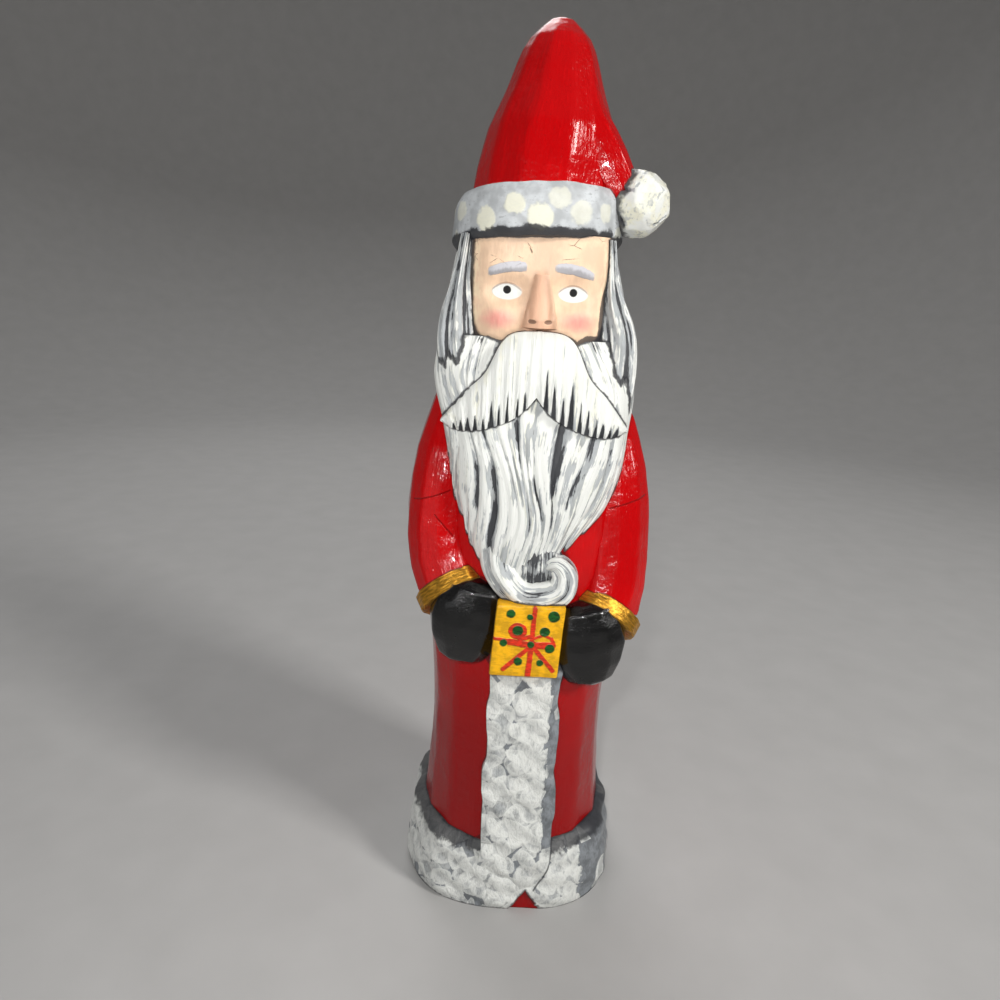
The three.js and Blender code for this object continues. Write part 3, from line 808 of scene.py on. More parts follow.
def carve_hair(plan, finish):
    """The hair that falls all round the head to the shoulders, with its locks."""
    half = plan.hair_width / 2
    head, foot = plan.head, plan.hair_foot
    wide = profile(
        (foot, half - 4), (head(0.85), half - 1.5), (head(0.67), half), (head(0.47), half), (head(0.28), half - 3),
        (head(0.09), half - 6), (head(-0.07), half - 9),
    )
    back = profile(
        (foot, half - 7.5), (head(0.86), half - 3), (head(0.59), half - 2), (head(0.3), half - 4.5),
        (head(-0.07), half - 8.5),
    )
    front = profile((head(0.66), half * 0.7), (head(0.46), half * 0.6), (head(0.34), half * 0.5))

    def relief(turn, z):
        place = round_share(turn)
        place = place + 0.008 * np.sin(3 * turn + 1) + 0.005 * np.sin(7 * turn + z * 0.03)
        drift = 0.3 * noise(place * 24, z * 0.06, seed=1, wrap=24)
        depth = 0.55 + 0.45 * noise(place * 24 + 0.5, z * 0.045, seed=3, wrap=24)
        locks = 1.25 * plan.lock_depth * groove(HAIR_LOCKS * place + 0.3 * drift, 1.5)
        patch = np.clip(0.45 + 0.75 * noise(place * 72, z * 0.05, seed=2, wrap=72), 0, 1)
        return locks * depth + 0.9 * groove(HAIR_LOCKS * 2 * place + drift + 0.5, 1.2) * patch

    upright(
        "hair", finish, foot, plan.brim_foot + 4, HAIR_LOCKS * 14, 30, wide, front, back, 2.3, x=plan.head_x,
        relief=relief, sway=lambda turn, z: 0.07 * np.sin(z * 0.06 + turn * 3), start=-math.pi / 2,
        lift=lambda x, _, z: np.where(z < foot + 1, 1.5 * np.sin(x * 0.5), 0),
    )


def carve_side_lock(plan, side, way, finish):
    """The lock that frames the face on one side."""
    inner = plan.face_width / 2
    points = [
        (HEAD_SHIFT + way * (inner + 0.4), -14, plan.brim_foot + 3),
        (HEAD_SHIFT + way * (inner + 2.2), -15.5, plan.head(0.2)),
        (HEAD_SHIFT * 0.5 + way * (inner + 4), -17, plan.head(0.4)), (way * (inner + 2.5), -20, plan.head(0.66)),
        (way * (inner + 1), -22, plan.head(0.83)),
    ]

    def relief(turn, rise):
        place = round_share(turn)
        locks = 0.8 * plan.lock_depth * groove(6 * place, 1.3)
        drift = 0.2 * noise(place * 6, rise * 4, seed=4, wrap=6)
        return locks + 0.5 * groove(18 * (place + drift / 6) + 0.5, 1.1)

    swept(
        f"side_lock_{side}", finish, points, 108, 40,
        profile((0, 2.4), (0.2, 3.4), (0.4, 6), (0.55, 7), (0.8, 6.8), (1, 5)), profile((0, 6), (0.5, 6.7), (1, 5)),
        relief=relief,
    )


def carve_beard(plan, finish):
    """The beard, from the cheeks to where its foot turns into the curl."""
    chin, middle = plan.chin, 18
    wide = profile(*[(chin(share), half) for share, half in (
        (0.09, 9), (0.13, 13), (0.19, 17.4), (0.25, 20.8), (0.33, 24.3), (0.4, 26.9), (0.48, 28.6), (0.6, 30.1),
        (0.69, 31.2), (0.85, 33), (1, 30),
    )])
    x = profile(*[(chin(share), shift) for share, shift in (
        (0.09, -7), (0.13, -5), (0.19, -3.4), (0.25, -2.5), (0.33, -0.9), (0.4, 0), (0.6, 0.5), (1, HEAD_SHIFT),
    )])

    def relief(turn, z):
        place = round_share(turn)
        place = place + 0.006 * np.sin(5 * turn + z * 0.05) + 0.004 * np.sin(11 * turn - z * 0.08)
        drift = 0.4 * noise(place * 28, z * 0.06, seed=6, wrap=28)
        depth = np.clip(0.35 + 0.9 * noise(place * 28 + 0.5, z * 0.05, seed=12, wrap=28), 0.08, 1)
        locks = 1.1 * plan.lock_depth * groove(BEARD_LOCKS * place + 0.4 * drift, 2.2)
        patch = np.clip(0.4 + 0.8 * noise(place * 56, z * 0.06, seed=7, wrap=56), 0, 1)
        hairs = 0.8 * groove(BEARD_LOCKS * 2 * place + drift + 0.5, 1.2)
        seen = np.clip((0.4 - np.sin(turn)) / 0.2, 0, 1)
        return (locks * depth + hairs * patch) * seen

    upright(
        "beard", finish, chin(0.09), chin(1), BEARD_LOCKS * 12, 46, wide, lambda z: plan.beard_front(z) - middle,
        still(16), 2.3, x=x, y=-middle, relief=relief,
        sway=lambda turn, z: 0.1 * np.sin(z * 0.09 + turn * 3), start=math.pi / 2,
    )


def carve_curl(plan, finish):
    """The foot of the beard, swept to one side and rolled up into a curl."""
    tip = plan.beard_tip
    points = [(x, -share * BEARD_DEPTH, tip + up) for x, share, up in (
        (-9.5, 0.6, 32), (-9.9, 0.84, 15), (-2, 0.9, 5.8), (5.5, 0.93, 5.8), (11.2, 0.94, 8.8), (12.1, 0.94, 13.6),
        (9.6, 0.93, 17), (6.8, 0.88, 16),
    )]

    def relief(turn, rise):
        place = round_share(turn)
        drift = 0.3 * noise(place * 6, rise * 5, seed=9, wrap=6)
        locks = 0.6 * plan.lock_depth * groove(6 * (place + drift / 6), 1.3)
        patch = np.clip(0.5 + noise(place * 12, rise * 8, seed=10, wrap=12), 0, 1)
        return locks + 0.3 * groove(18 * (place + drift / 6) + 0.5, 1.1) * patch

    swept(
        "curl", finish, points, 96, 80,
        profile((0, 4), (0.15, 6.4), (0.3, 6.2), (0.55, 5.6), (0.75, 5.8), (0.9, 4.6), (1, 2.6)),
        profile((0, 6), (0.3, 5.6), (0.75, 6.2), (1, 3.6)), relief=relief,
    )


def carve_curl_bed(plan, finish):
    """The hair left standing inside the curl."""
    bed = new_blank("curl_bed", bpy.ops.mesh.primitive_uv_sphere_add, segments=40, ring_count=24, radius=1)
    x, y, z = (corners_of(bed) * (9.5, 6.5, 10)).T
    cuts = groove(x * 0.42 + z * 0.12, 1.3)
    move_corners(bed, np.stack([x + 3, y + 6.2 - BEARD_DEPTH - cuts * 0.9, z + plan.beard_tip + 15.5], axis=-1))
    mark(bed, x, z, 1.1 - cuts * 0.4, np.full(len(x), 0.5))
    keep(bed, finish)


# Dark cuts up from the foot of each half of the moustache: place along it, half width and height as shares
GOUGES = {
    "left": (
        (0.1, 0.022, 0.66), (0.19, 0.028, 0.52), (0.29, 0.02, 0.42), (0.385, 0.03, 0.66), (0.49, 0.02, 0.5),
        (0.575, 0.026, 0.5), (0.67, 0.018, 0.4), (0.75, 0.024, 0.46), (0.84, 0.018, 0.4), (0.92, 0.03, 0.6),
    ),
    "right": (
        (0.12, 0.014, 0.36), (0.2, 0.012, 0.3), (0.31, 0.016, 0.4), (0.4, 0.014, 0.34), (0.48, 0.03, 0.44),
        (0.57, 0.016, 0.3), (0.66, 0.026, 0.34), (0.74, 0.03, 0.4), (0.82, 0.024, 0.4), (0.9, 0.02, 0.34),
    ),
}


def carve_moustache(plan, side, way, finish):
    """One half of the moustache, from under the nose out to its drooping end."""
    top, reach, middle = plan.head(0.362), plan.moustache_width / 2, -0.8
    crest = profile((0, 0), (0.28, 0.03), (0.4, 0.13), (0.55, 0.42), (0.75, 0.62), (1, 0.92))
    foot = profile((0, 0.6), (0.14, 0.76), (0.3, 0.87), (0.6, 0.98), (0.85, 1), (1, 0.94))
    blank = block(f"moustache_{side}", 88, 30)
    px, py, pz = corners_of(blank).T
    along, up = way * px + 0.5, pz + 0.5
    x = middle + way * (along * reach - 0.6)
    z = top - MOUSTACHE_DROP * (foot(along) * (1 - up) + crest(along) * up)
    crown = 1 - (2 * up - 1) ** 4
    fan = along + 0.1 * (1 - up) * (along - 0.3)
    drift = 0.35 * noise(fan * 9, up * 1.5, seed=13 + way)
    locks = -0.4 * plan.lock_depth * (1 + groove(8 * fan, 1.2)) * np.clip(1.3 - up, 0, 1)
    hairs = 0.45 * groove(24 * fan + drift, 1.1) * np.clip(1.05 - 1.2 * up, 0.08, 1)
    gouges = np.zeros(len(x))
    for place, wide, tall in GOUGES[side]:
        taper = np.clip(1 - up / tall, 0, 1)
        inside = 1.3 - np.abs(fan - place) / (wide * 1.7 * taper + 1e-6) * 1.3
        gouges = np.maximum(gouges, np.clip(inside, 0, 1) * taper ** 0.4)
    face = plan.moustache_front(z) - 0.011 * x ** 2 + crown + locks + hairs - 1.3 * gouges
    move_corners(blank, np.stack([x, np.where(py < 0, -face, -face + 12), z], axis=-1))
    mark(blank, fan * reach, up * 18, 2.2 * gouges - hairs * 0.9 - 0.5 * np.clip(up - 0.4, 0, 1), up)
    keep(blank, finish)
    turn_out(blank)


# ---------------------------------------------------------------- face

def carve_face(plan, finish):
    """The carved face under the brim, with brow, sockets and cheeks."""
    half, middle = plan.face_width / 2, FACE_MIDDLE
    visage = plan.visage
    dip = profile(
        (visage(1), 1.6), (visage(0.84), 0.4), (visage(0.68), 0), (visage(0.52), 0.5), (visage(0.4), 0.8),
        (visage(0.24), 0), (visage(0.08), 0.3), (visage(-0.14), 1.2),
    )

    def front(x, z, _):
        out = np.abs(x - middle)
        sockets = SOCKET_DEPTH * bump(out - plan.face_width * 0.23, z - visage(0.41), 8, 6)
        lids = 0.5 * bump(out - plan.face_width * 0.23, z - visage(0.43), 5.4, 3.4)
        cheeks = bump(out - plan.face_width * 0.27, z - visage(0.71), 9, 7)
        strokes = 0.12 - 0.12 * noise(x * 0.5, z * 0.22, seed=17)
        face = FACE_FRONT - dip(z) - 6.5 * ((x - middle) / half) ** 4 - sockets + lids + cheeks - strokes
        return face, sockets * 0.3

    relieved(
        "face", finish, visage(1), visage(-0.13), 62, 50, still(middle - half), still(middle + half), front, 10,
    )


def carve_nose(plan, finish):
    """The wedge of the nose, broad at its foot, with its nostrils."""
    middle, top = HEAD_SHIFT + 1.6, plan.visage(0.254)
    long = plan.nose_length

    def half(z):
        return (NOSE_WIDTH / 2) * (1 - 0.6 * ((z - top + long) / long))

    def front(x, z, share):
        fall = (z - top + long) / long
        tip = np.maximum(0.35, 1 - 2.6 * (share - 0.5) ** 2)
        face = FACE_FRONT - 0.8 + NOSE_RISE * (1 - 0.75 * fall) * tip - 1.6 * np.maximum(0, 0.15 - fall) / 0.15
        nostrils = 0.9 * bump(np.abs(x - middle) - 2.4, z - (top - long + 1.9), 1.7, 0.9)
        wings = 0.8 * bump(np.abs(x - middle) - 3.4, z - (top - long + 3.4), 0.9, 3.2)
        return face - nostrils - wings, nostrils * 2 + wings * 0.45

    relieved(
        "nose", finish, top - long, top, 30, 40, lambda z: middle - half(z), lambda z: middle + half(z), front,
        FACE_FRONT - 4,
    )


# ---------------------------------------------------------------- hat

def brim_lean(x, y):
    """How far the brim rises to the front and towards the pompom."""
    return -0.13 * y + 0.04 * x


def carve_brim(plan, finish):
    """The fur brim of the hat."""
    foot, tall = plan.brim_foot, plan.brim_height
    edge = profile((0, -1.6), (0.14, 0), (0.8, -0.6), (1, -2.2))

    def size(z):
        return plan.brim_width / 2 + edge((z - foot) / tall)

    def relief(turn, z):
        return -0.22 + 0.22 * noise(turn / TAU * 40, z * 0.16, seed=19, wrap=40)

    upright(
        "brim", finish, foot, foot + tall, 160, 16, size, size, size, 2.15, x=still(HEAD_SHIFT), relief=relief,
        lift=lambda x, y, _: brim_lean(x, y) + 0.25 * noise(x * 0.2, y * 0.2, seed=20), start=-0.3,
    )


def carve_hat(plan, finish):
    """The tall pointed hat, cut with broad flats and rounded over at its tip."""
    foot = plan.brim_foot + plan.brim_height - 3
    rise = plan.height - foot
    base = plan.brim_width / 2 - BRIM_LAP
    share = profile(
        (0, 1), (0.25, 0.93), (0.35, 0.88), (0.46, 0.82), (0.56, 0.71), (0.67, 0.61), (0.77, 0.53), (0.87, 0.43),
        (0.92, 0.33), (0.95, 0.255), (0.975, 0.185), (0.99, 0.12), (1, 0.03),
    )

    def size(z):
        return 1.025 * base * share((z - foot) / rise)

    hat = upright(
        "hat", finish, foot, plan.height, 11, 13, size, size, size, 2.0,
        x=profile((foot, HEAD_SHIFT + 1), (foot + 0.45 * rise, 0), (plan.height, 1.2)),
        sway=lambda turn, z: 0.06 * np.sin(z * 0.08 + turn * 2), start=-0.3,
        lift=lambda x, y, z: brim_lean(x, y) * np.maximum(0, 1 - (z - foot) / (rise * 0.5)), crowd=1.5,
    )
    soften(hat, 5)
    whittle(hat, 0.25, 6, 23)


def carve_tail(plan, finish):
    """The end of the hat, folded down one side to the pompom."""
    px, py, pz = plan.pompom_middle
    tall = plan.height
    points = [(3, -2, tall - 7), (6.5, -5, tall - 17), (10, -8, tall - 30), (16, -10, pz + 14), (px - 5, py, pz + 2)]
    tail = swept(
        "tail", finish, points, 10, 9, profile((0, 3), (0.3, 6), (0.7, 7), (1, 6)),
        profile((0, 3), (0.4, 6), (1, 7)), square=3,
    )
    soften(tail, 4)


def carve_pompom(plan, finish):
    """The pompom, a ball cut with small flats that run to ridges."""
    pompom = new_blank("pompom", bpy.ops.mesh.primitive_ico_sphere_add, subdivisions=5, radius=1)
    ways = corners_of(pompom)
    ways /= np.linalg.norm(ways, axis=1, keepdims=True)
    step = np.arange(POMPOM_FLATS) + 0.5
    polar, turn = np.arccos(1 - 2 * step / POMPOM_FLATS), math.pi * (1 + 5 ** 0.5) * step
    flats = np.stack([np.cos(turn) * np.sin(polar), np.sin(turn) * np.sin(polar), np.cos(polar)], axis=-1)
    flats += 0.34 * np.stack([noise(step * 3.1, k * 1.7, seed=25) for k in range(3)], axis=-1)
    flats /= np.linalg.norm(flats, axis=1, keepdims=True)
    heights = 0.94 + 0.05 * noise(step * 2.3, 0.4, seed=26)
    facing = ways @ flats.T
    planes = np.sort(np.where(facing > 0.3, heights / np.maximum(facing, 0.3), 9), axis=1)
    reach = np.minimum(planes[:, 0], 1.04)
    gap = planes[:, 1] - planes[:, 0]
    cut = np.exp(-((gap / 0.022) ** 2)) * np.clip(0.3 + 1.5 * noise(*(ways * 2.1).T, seed=27), 0, 1)
    size = plan.pompom_size / 2 * reach - 0.9 * cut - 0.12 * (1 + noise(*(ways * 9).T, seed=28))
    move_corners(pompom, ways * size[:, None] + plan.pompom_middle)
    mark(pompom, np.arctan2(ways[:, 1], ways[:, 0]) * 10, ways[:, 2] * 10, 1.4 * cut, ways[:, 2] * 0.5 + 0.5)
    keep(pompom, finish)


# ---------------------------------------------------------------- paint

def feed(tree, socket, value):
    """Links a value to a socket, or sets the socket to a plain number or colour."""
    if isinstance(value, Value):
        tree.links.new(value.socket, socket)
    else:
        socket.default_value = value


def by_node(operation):
    """A method that sends a value and another term through one kind of maths node."""
    return lambda first, second: first.maths(operation, first, second)


class Value:
    """A socket that gives a number, so that shader maths reads as Python."""

    def __init__(self, tree, socket):
        self.tree, self.socket = tree, socket

    def maths(self, operation, *terms):
        node = self.tree.nodes.new("ShaderNodeMath")
        node.operation = operation
        for socket, term in zip(node.inputs, terms):
            feed(self.tree, socket, term)
        return Value(self.tree, node.outputs[0])

    def __rsub__(self, other):
        return self.maths("SUBTRACT", other, self)

    def __abs__(self):
        return self.maths("ABSOLUTE", self)

    __add__ = __radd__ = by_node("ADD")
    __mul__ = __rmul__ = by_node("MULTIPLY")
    __sub__, __truediv__, __pow__ = by_node("SUBTRACT"), by_node("DIVIDE"), by_node("POWER")
    least, most = by_node("MINIMUM"), by_node("MAXIMUM")


def most_of(values):
    """The largest of several values at each place."""
    return functools.reduce(Value.most, values)


class Finish:
    """A painted finish, built node by node."""

    def __init__(self, name, **constants):
        self.material = bpy.data.materials.new(name)
        self.material.use_nodes = True
        self.tree = self.material.node_tree
        self.shader = self.tree.nodes["Principled BSDF"]
        for socket, value in constants.items():
            self.shader.inputs[socket.replace("_", " ")].default_value = value

    def add(self, kind, settings=None, sockets=None, output=0):
        """Any node: its settings are set first, then its sockets are filled or linked."""
        node = self.tree.nodes.new("ShaderNode" + kind)
        for name, value in (settings or {}).items():
            setattr(node, name, value)
        for name, value in (sockets or {}).items():
            feed(self.tree, node.inputs[name], value)
        return Value(self.tree, node.outputs[output])

    def place(self, scale=(1, 1, 1)):
        """Places on the figure in millimetres, stretched by scale."""
        where = self.add("TexCoord", output="Object")
        return self.add("Mapping", sockets={"Vector": where, "Scale": [part / MM for part in scale]})

    def flow(self, across=1.0, along=1.0):
        """Places along the strokes in millimetres, stretched by the two numbers."""
        where = self.add("UVMap", {"uv_map": "flow"})
        return self.add("Mapping", sockets={"Vector": where, "Scale": (across, along, 1)})

    def axes(self, vector):
        """The three parts of a vector."""
        parts = self.add("SeparateXYZ", sockets={"Vector": vector})
        node = parts.socket.node
        return [Value(self.tree, socket) for socket in node.outputs]

    def cut_depth(self):
        """How deep the surface is cut here, in millimetres, and how far up its form it is."""
        depth, rise, _ = self.axes(self.add("UVMap", {"uv_map": "carve"}))
        return depth, rise

    def seam(self):
        """How far it is to the next colour, in millimetres."""
        return self.add("Attribute", {"attribute_name": "seam"}, output="Fac")

    def noise(self, where, scale, detail=2.0, rough=0.5, twist=0.0):
        """Soft noise from 0 to 1."""
        return self.add("TexNoise", sockets={
            "Vector": where, "Scale": scale, "Detail": detail, "Roughness": rough, "Distortion": twist,
        })

    def ease(self, value, low, high):
        """0 up to low and 1 from high, smooth between them; low may be above high."""
        return self.add("MapRange", {"interpolation_type": "SMOOTHSTEP"}, {
            "Value": value, "From Min": low, "From Max": high,
        })

    def mix(self, share, first, second):
        """Two colours mixed."""
        node = self.tree.nodes.new("ShaderNodeMix")
        node.data_type = "RGBA"
        feed(self.tree, node.inputs[0], share)
        for index, colour in ((6, first), (7, second)):
            feed(self.tree, node.inputs[index], colour if isinstance(colour, Value) else (*colour[:3], 1))
        return Value(self.tree, node.outputs[2])

    def tones(self, value, low, high, colour, first, second):
        """A colour that goes from one shade of itself to another as a value goes from low to high."""
        return self.mix(self.ease(value, low, high), shade(colour, first), shade(colour, second))

    def by_seam(self, rough, low, high):
        """A ragged line along the border with the next colour, 1 at the border and 0 past its far edge."""
        return self.ease(self.seam() + rough, low, high)

    def dot(self, x, z, middle, radius, soft=STROKE_SOFT):
        """A round spot at a place, 1 inside and 0 outside."""
        away = ((x - middle[0]) ** 2.0 + (z - middle[1]) ** 2.0) ** 0.5
        return self.ease(away, radius + soft, radius - soft)

    def stroke(self, x, z, start, end, radius):
        """A brush stroke between two places, 1 inside and 0 outside."""
        (ax, az), (bx, bz) = start, end
        long = (bx - ax) ** 2 + (bz - az) ** 2
        share = ((x - ax) * ((bx - ax) / long) + (z - az) * ((bz - az) / long)).least(1.0).most(0.0)
        away = ((x - ax - share * (bx - ax)) ** 2.0 + (z - az - share * (bz - az)) ** 2.0) ** 0.5
        return self.ease(away, radius + STROKE_SOFT, radius - STROKE_SOFT)

    def finish(self, colour, rough, height, depth, metal=None):
        """Feeds the shader: colour, roughness, and a bump whose height of 1 stands for depth millimetres."""
        for socket, value in (("Base Color", colour), ("Roughness", rough), ("Metallic", metal)):
            if value is not None:
                self.tree.links.new(value.socket, self.shader.inputs[socket])
        normal = self.add("Bump", sockets={"Height": height, "Strength": 1.0, "Distance": depth * MM})
        self.tree.links.new(normal.socket, self.shader.inputs["Normal"])
        return self.material


def shade(colour, share):
    """A colour made darker or lighter by a share."""
    return tuple(min(1.0, part * share) for part in colour[:3])


def red_paint(colours):
    """Glossy red paint brushed along the cuts."""
    paint = Finish("red paint", Specular_IOR_Level=0.2, Coat_Roughness=0.04, Coat_Weight=0.2)
    where = paint.place()
    broad = paint.noise(where, 0.05, 2.0)
    streaks = paint.noise(paint.flow(1.4, 0.1), 1.0, 3.0, 0.6)
    specks = paint.noise(where, 1.9, 2.0)
    thin = paint.ease(streaks, 0.56, 0.72) * 0.35 + paint.ease(broad, 0.5, 0.75) * 0.3
    x, y, z = paint.axes(where)
    colour = paint.mix(thin, shade(colours.red, 0.82), shade(colours.red, 1.22))
    # Painted shade: the red grows darker from the chest down to the hem
    colour = paint.mix(paint.ease(z + broad * 40.0, 150.0, 70.0) * 0.75, colour, shade(colours.red, 0.42))
    edge = paint.by_seam(paint.noise(where, 0.9) * 0.6, 0.85, 0.35)
    colour = paint.mix(edge * 0.8, colour, shade(colours.red, 0.12))
    dirt = paint.ease(specks, 0.73, 0.78)
    colour = paint.mix(dirt * 0.5, colour, shade(colours.red, 0.3))
    bent_x, bent_z = x + (broad - 0.5) * 2.0, z + (broad - 0.5) * 3.0
    cuts = most_of([paint.stroke(bent_x, bent_z, *cut) for cut in SLEEVE_CUTS]) * paint.ease(y, -12.0, -16.0)
    colour = paint.mix(cuts * 0.6, colour, shade(colours.red, 0.3))
    rough = 0.1 + streaks * 0.16 + dirt * 0.3 + edge * 0.2
    height = streaks * 0.8 + paint.noise(where, 0.3, 3.0) * 1.5 + dirt * 2.0 - cuts * 1.5
    return paint.finish(colour, rough, height, 0.26)


def hair_paint(colours, name="hair paint", thin=0.16, dry=0.1, crown=0.0):
    """White and cream strokes over grey, with charcoal in the cuts as undercoat and painted shade. Thin shows more
    grey, dry more charcoal and crown more near the top.
    """
    paint = Finish(name, Specular_IOR_Level=0.4)
    where = paint.place()
    depth, rise = paint.cut_depth()
    fine = paint.noise(paint.flow(1.5, 0.09), 1.0, 4.0, 0.62, 0.15)
    wide = paint.noise(paint.flow(0.42, 0.035), 1.0, 2.0, 0.55, 0.2)
    patch = paint.noise(where, 0.16, 3.0)
    # Charcoal where the cuts are deep: the undercoat showing through and painted shade in the grooves
    ragged = depth * 0.7 + (fine - 0.5) * 1.9 + (patch - 0.5) * 1.3 + paint.ease(rise, 0.84, 1.0) * crown
    cut_charcoal_and_shade = paint.ease(ragged, 0.86 - dry, 1.0 - dry)
    worn = depth * 0.45 + (wide - 0.5) * 1.8 + (fine - 0.5) * 1.5 + (patch - 0.5) * 1.1
    bare = paint.ease(worn, 0.24 - thin, 0.42 - thin)
    warm = paint.ease(wide + (patch - 0.5) * 0.5, 0.5, 0.68) * 0.7
    white = paint.mix(warm, colours.white, colours.cream)
    under = paint.tones(patch, 0.35, 0.65, colours.grey, 1.0, 1.55)
    colour = paint.mix(bare * 0.82, white, under)
    colour = paint.mix(cut_charcoal_and_shade * 0.92, colour, colours.charcoal)
    line = paint.by_seam(paint.noise(where, 0.5) * 1.5, 1.7, 1.1)
    colour = paint.mix(line * 0.92, colour, colours.charcoal)
    rough = 0.34 + fine * 0.16 + cut_charcoal_and_shade * 0.12
    height = fine * 1.4 + wide * 0.6 - cut_charcoal_and_shade * 0.7
    return paint.finish(colour, rough, height, 0.28)


def fur_paint(colours):
    """Short see-through white dabs laid over each other on grey, with charcoal along the top of the hem."""
    paint = Finish("fur paint", Specular_IOR_Level=0.4)
    where = paint.place()
    x, y, z = paint.axes(where)
    _, rise = paint.cut_depth()
    across = paint.axes(paint.flow())[0]
    patch = paint.noise(where, 0.25, 3.0)
    bristle = paint.noise(paint.place((1.6, 1.6, 0.7)), 1.0, 3.0, 0.6)
    colour = paint.tones(patch + (bristle - 0.5) * 0.5, 0.36, 0.64, colours.grey, 0.62, 1.05)
    height = bristle * 0.3
    plain = paint.ease(across + (patch - 0.5) * 10.0, 13.0, 17.0)
    plain = plain * paint.ease(across + (patch - 0.5) * 20.0, 78.0, 56.0)
    margin = paint.ease(x + (patch - 0.5) * 3.0, 9.5, 11.5) * paint.ease(z, 24.0, 30.0)
    sparse = plain.most(margin)
    for wide, tall, shift, lean in FUR_DABS:
        bent = paint.add("Mapping", sockets={
            "Vector": paint.flow(), "Location": (shift, shift * 1.7, 0), "Rotation": (0, 0, lean),
        })
        bent = paint.add("Mapping", sockets={"Vector": bent, "Scale": (1 / wide, 1 / tall, 1)})
        cell = paint.add("TexVoronoi", {"voronoi_dimensions": "2D"}, {
            "Vector": bent, "Scale": 1.0, "Randomness": 0.85,
        })
        tone = paint.axes(Value(paint.tree, cell.socket.node.outputs["Color"]))[0]
        ragged = cell + (bristle - 0.5) * 0.22 + (patch - 0.5) * 0.12
        dab = paint.ease(ragged, 0.56, 0.5) * paint.ease(tone - sparse * 0.7, 0.22, 0.28)
        thick = dab * (0.12 + paint.ease(ragged, 0.16, 0.5) * 0.4 + (bristle - 0.45) * 0.8 + tone * 0.3)
        colour = paint.mix(thick.least(1.0).most(0.0), colour, shade(colours.white, 0.97))
        height = height + thick * 0.5
    band = paint.ease(rise + (patch - 0.5) * 0.25 + (bristle - 0.5) * 0.1, 0.8, 0.88)
    colour = paint.mix(band * 0.9, colour, colours.charcoal)
    lap = most_of([paint.stroke(x, z, *line) for line in LAP_LINE]) * paint.ease(y, -30.0, -34.0)
    colour = paint.mix(lap * 0.85, colour, colours.charcoal)
    line = paint.by_seam(paint.noise(where, 0.5) * 1.6, 1.7, 1.0)
    colour = paint.mix(line * 0.8, colour, colours.charcoal)
    return paint.finish(colour, 0.46 - height * 0.05, height, 0.2)


def brim_paint(colours):
    """Pale frost ground with round cream dabs and a charcoal lower edge that is partly painted shade of the undercut.
    """
    paint = Finish("brim paint", Specular_IOR_Level=0.4)
    where = paint.place()
    x, y, z = paint.axes(where)
    _, rise = paint.cut_depth()
    grain = paint.noise(paint.flow(0.6, 1.1), 1.0, 4.0, 0.65)
    patch = paint.noise(where, 0.22, 3.0)
    colour = paint.tones(patch, 0.36, 0.64, colours.frost, 0.8, 1.12)
    worn = paint.ease(grain + (patch - 0.5) * 0.4, 0.6, 0.7)
    colour = paint.mix(worn * 0.55, colour, shade(colours.frost, 0.42))
    height = grain * 0.5
    wobble = (paint.noise(where, 0.3) - 0.5) * 1.6
    ragged = (paint.noise(paint.place((1, 1, 1.3)), 0.5, 2.0) - 0.5) * 1.6
    front = paint.ease(y, -3.0, -8.0)
    dabs = []
    for across, up, radius, strength in BRIM_DABS:
        deep = (BRIM_ROUND ** 2 - (across - HEAD_SHIFT) ** 2) ** 0.5
        away = (x - across + wobble * 1.8) ** 2.0 + (z - up + ragged * 1.6) ** 2.0 + (y + deep) ** 2.0
        dabs.append(paint.ease(away ** 0.5, radius + 0.6, radius - 0.5) * strength)
    place = paint.axes(paint.flow(1 / REAR_DAB_STEP, 1.0))[0]
    number = place.maths("FLOOR", place)
    upper = number.maths("PINGPONG", number, 1.0)
    over = (place - number - 0.5) * REAR_DAB_STEP + ragged * 1.6
    rear = paint.dot(over, rise * BRIM_HEIGHT - upper * 3.6 + wobble * 1.6, (0.0, 6.6), 3.5, 0.5) * (1 - front)
    cover = most_of([*dabs, rear * (0.6 + upper * 0.35)])
    colour = paint.mix(cover * (0.75 + grain * 0.4), colour, colours.cream)
    # Charcoal along the lower edge of the brim, partly paint and partly painted shade under the brim
    low = paint.ease(rise + (patch - 0.5) * 0.3 + (grain - 0.5) * 0.1, 0.19, 0.13)
    colour = paint.mix(low * 0.94, colour, colours.charcoal)
    line = paint.by_seam(paint.noise(where, 0.6) * 0.9, 0.95, 0.45)
    colour = paint.mix(line * 0.85, colour, colours.charcoal)
    rough = 0.42 + grain * 0.15
    return paint.finish(colour, rough, height + cover * 0.5, 0.22)


def pompom_paint(colours):
    """Cream white on the flats, with grey and charcoal in the cuts, the charcoal partly painted shade."""
    paint = Finish("pompom paint", Specular_IOR_Level=0.4)
    where = paint.place()
    depth, _ = paint.cut_depth()
    patch = paint.noise(where, 0.22, 3.0)
    grain = paint.noise(where, 0.9, 4.0, 0.6)
    colour = paint.mix(paint.ease(patch, 0.4, 0.6), colours.white, colours.cream)
    thin = paint.ease(patch + (grain - 0.5) * 0.8, 0.56, 0.7)
    colour = paint.mix(thin * 0.65, colour, shade(colours.frost, 0.8))
    ridge = paint.ease(depth + (grain - 0.5) * 1.0 + (patch - 0.5) * 0.8, 0.15, 0.5)
    colour = paint.mix(ridge * 0.7, colour, shade(colours.grey, 1.3))
    # Charcoal deep in the cuts: undercoat and painted shade
    cut_charcoal_and_shade = paint.ease(depth + (grain - 0.5) * 2.8 + (patch - 0.5) * 2.0, 0.9, 1.15)
    colour = paint.mix(cut_charcoal_and_shade * 0.85, colour, colours.charcoal)
    line = paint.by_seam(paint.noise(where, 0.4) * 3.4, 4.2, 2.6)
    colour = paint.mix(line * 0.9, colour, colours.charcoal)
    return paint.finish(colour, 0.4 + grain * 0.12, grain + patch * 0.5 - cut_charcoal_and_shade * 0.6, 0.25)


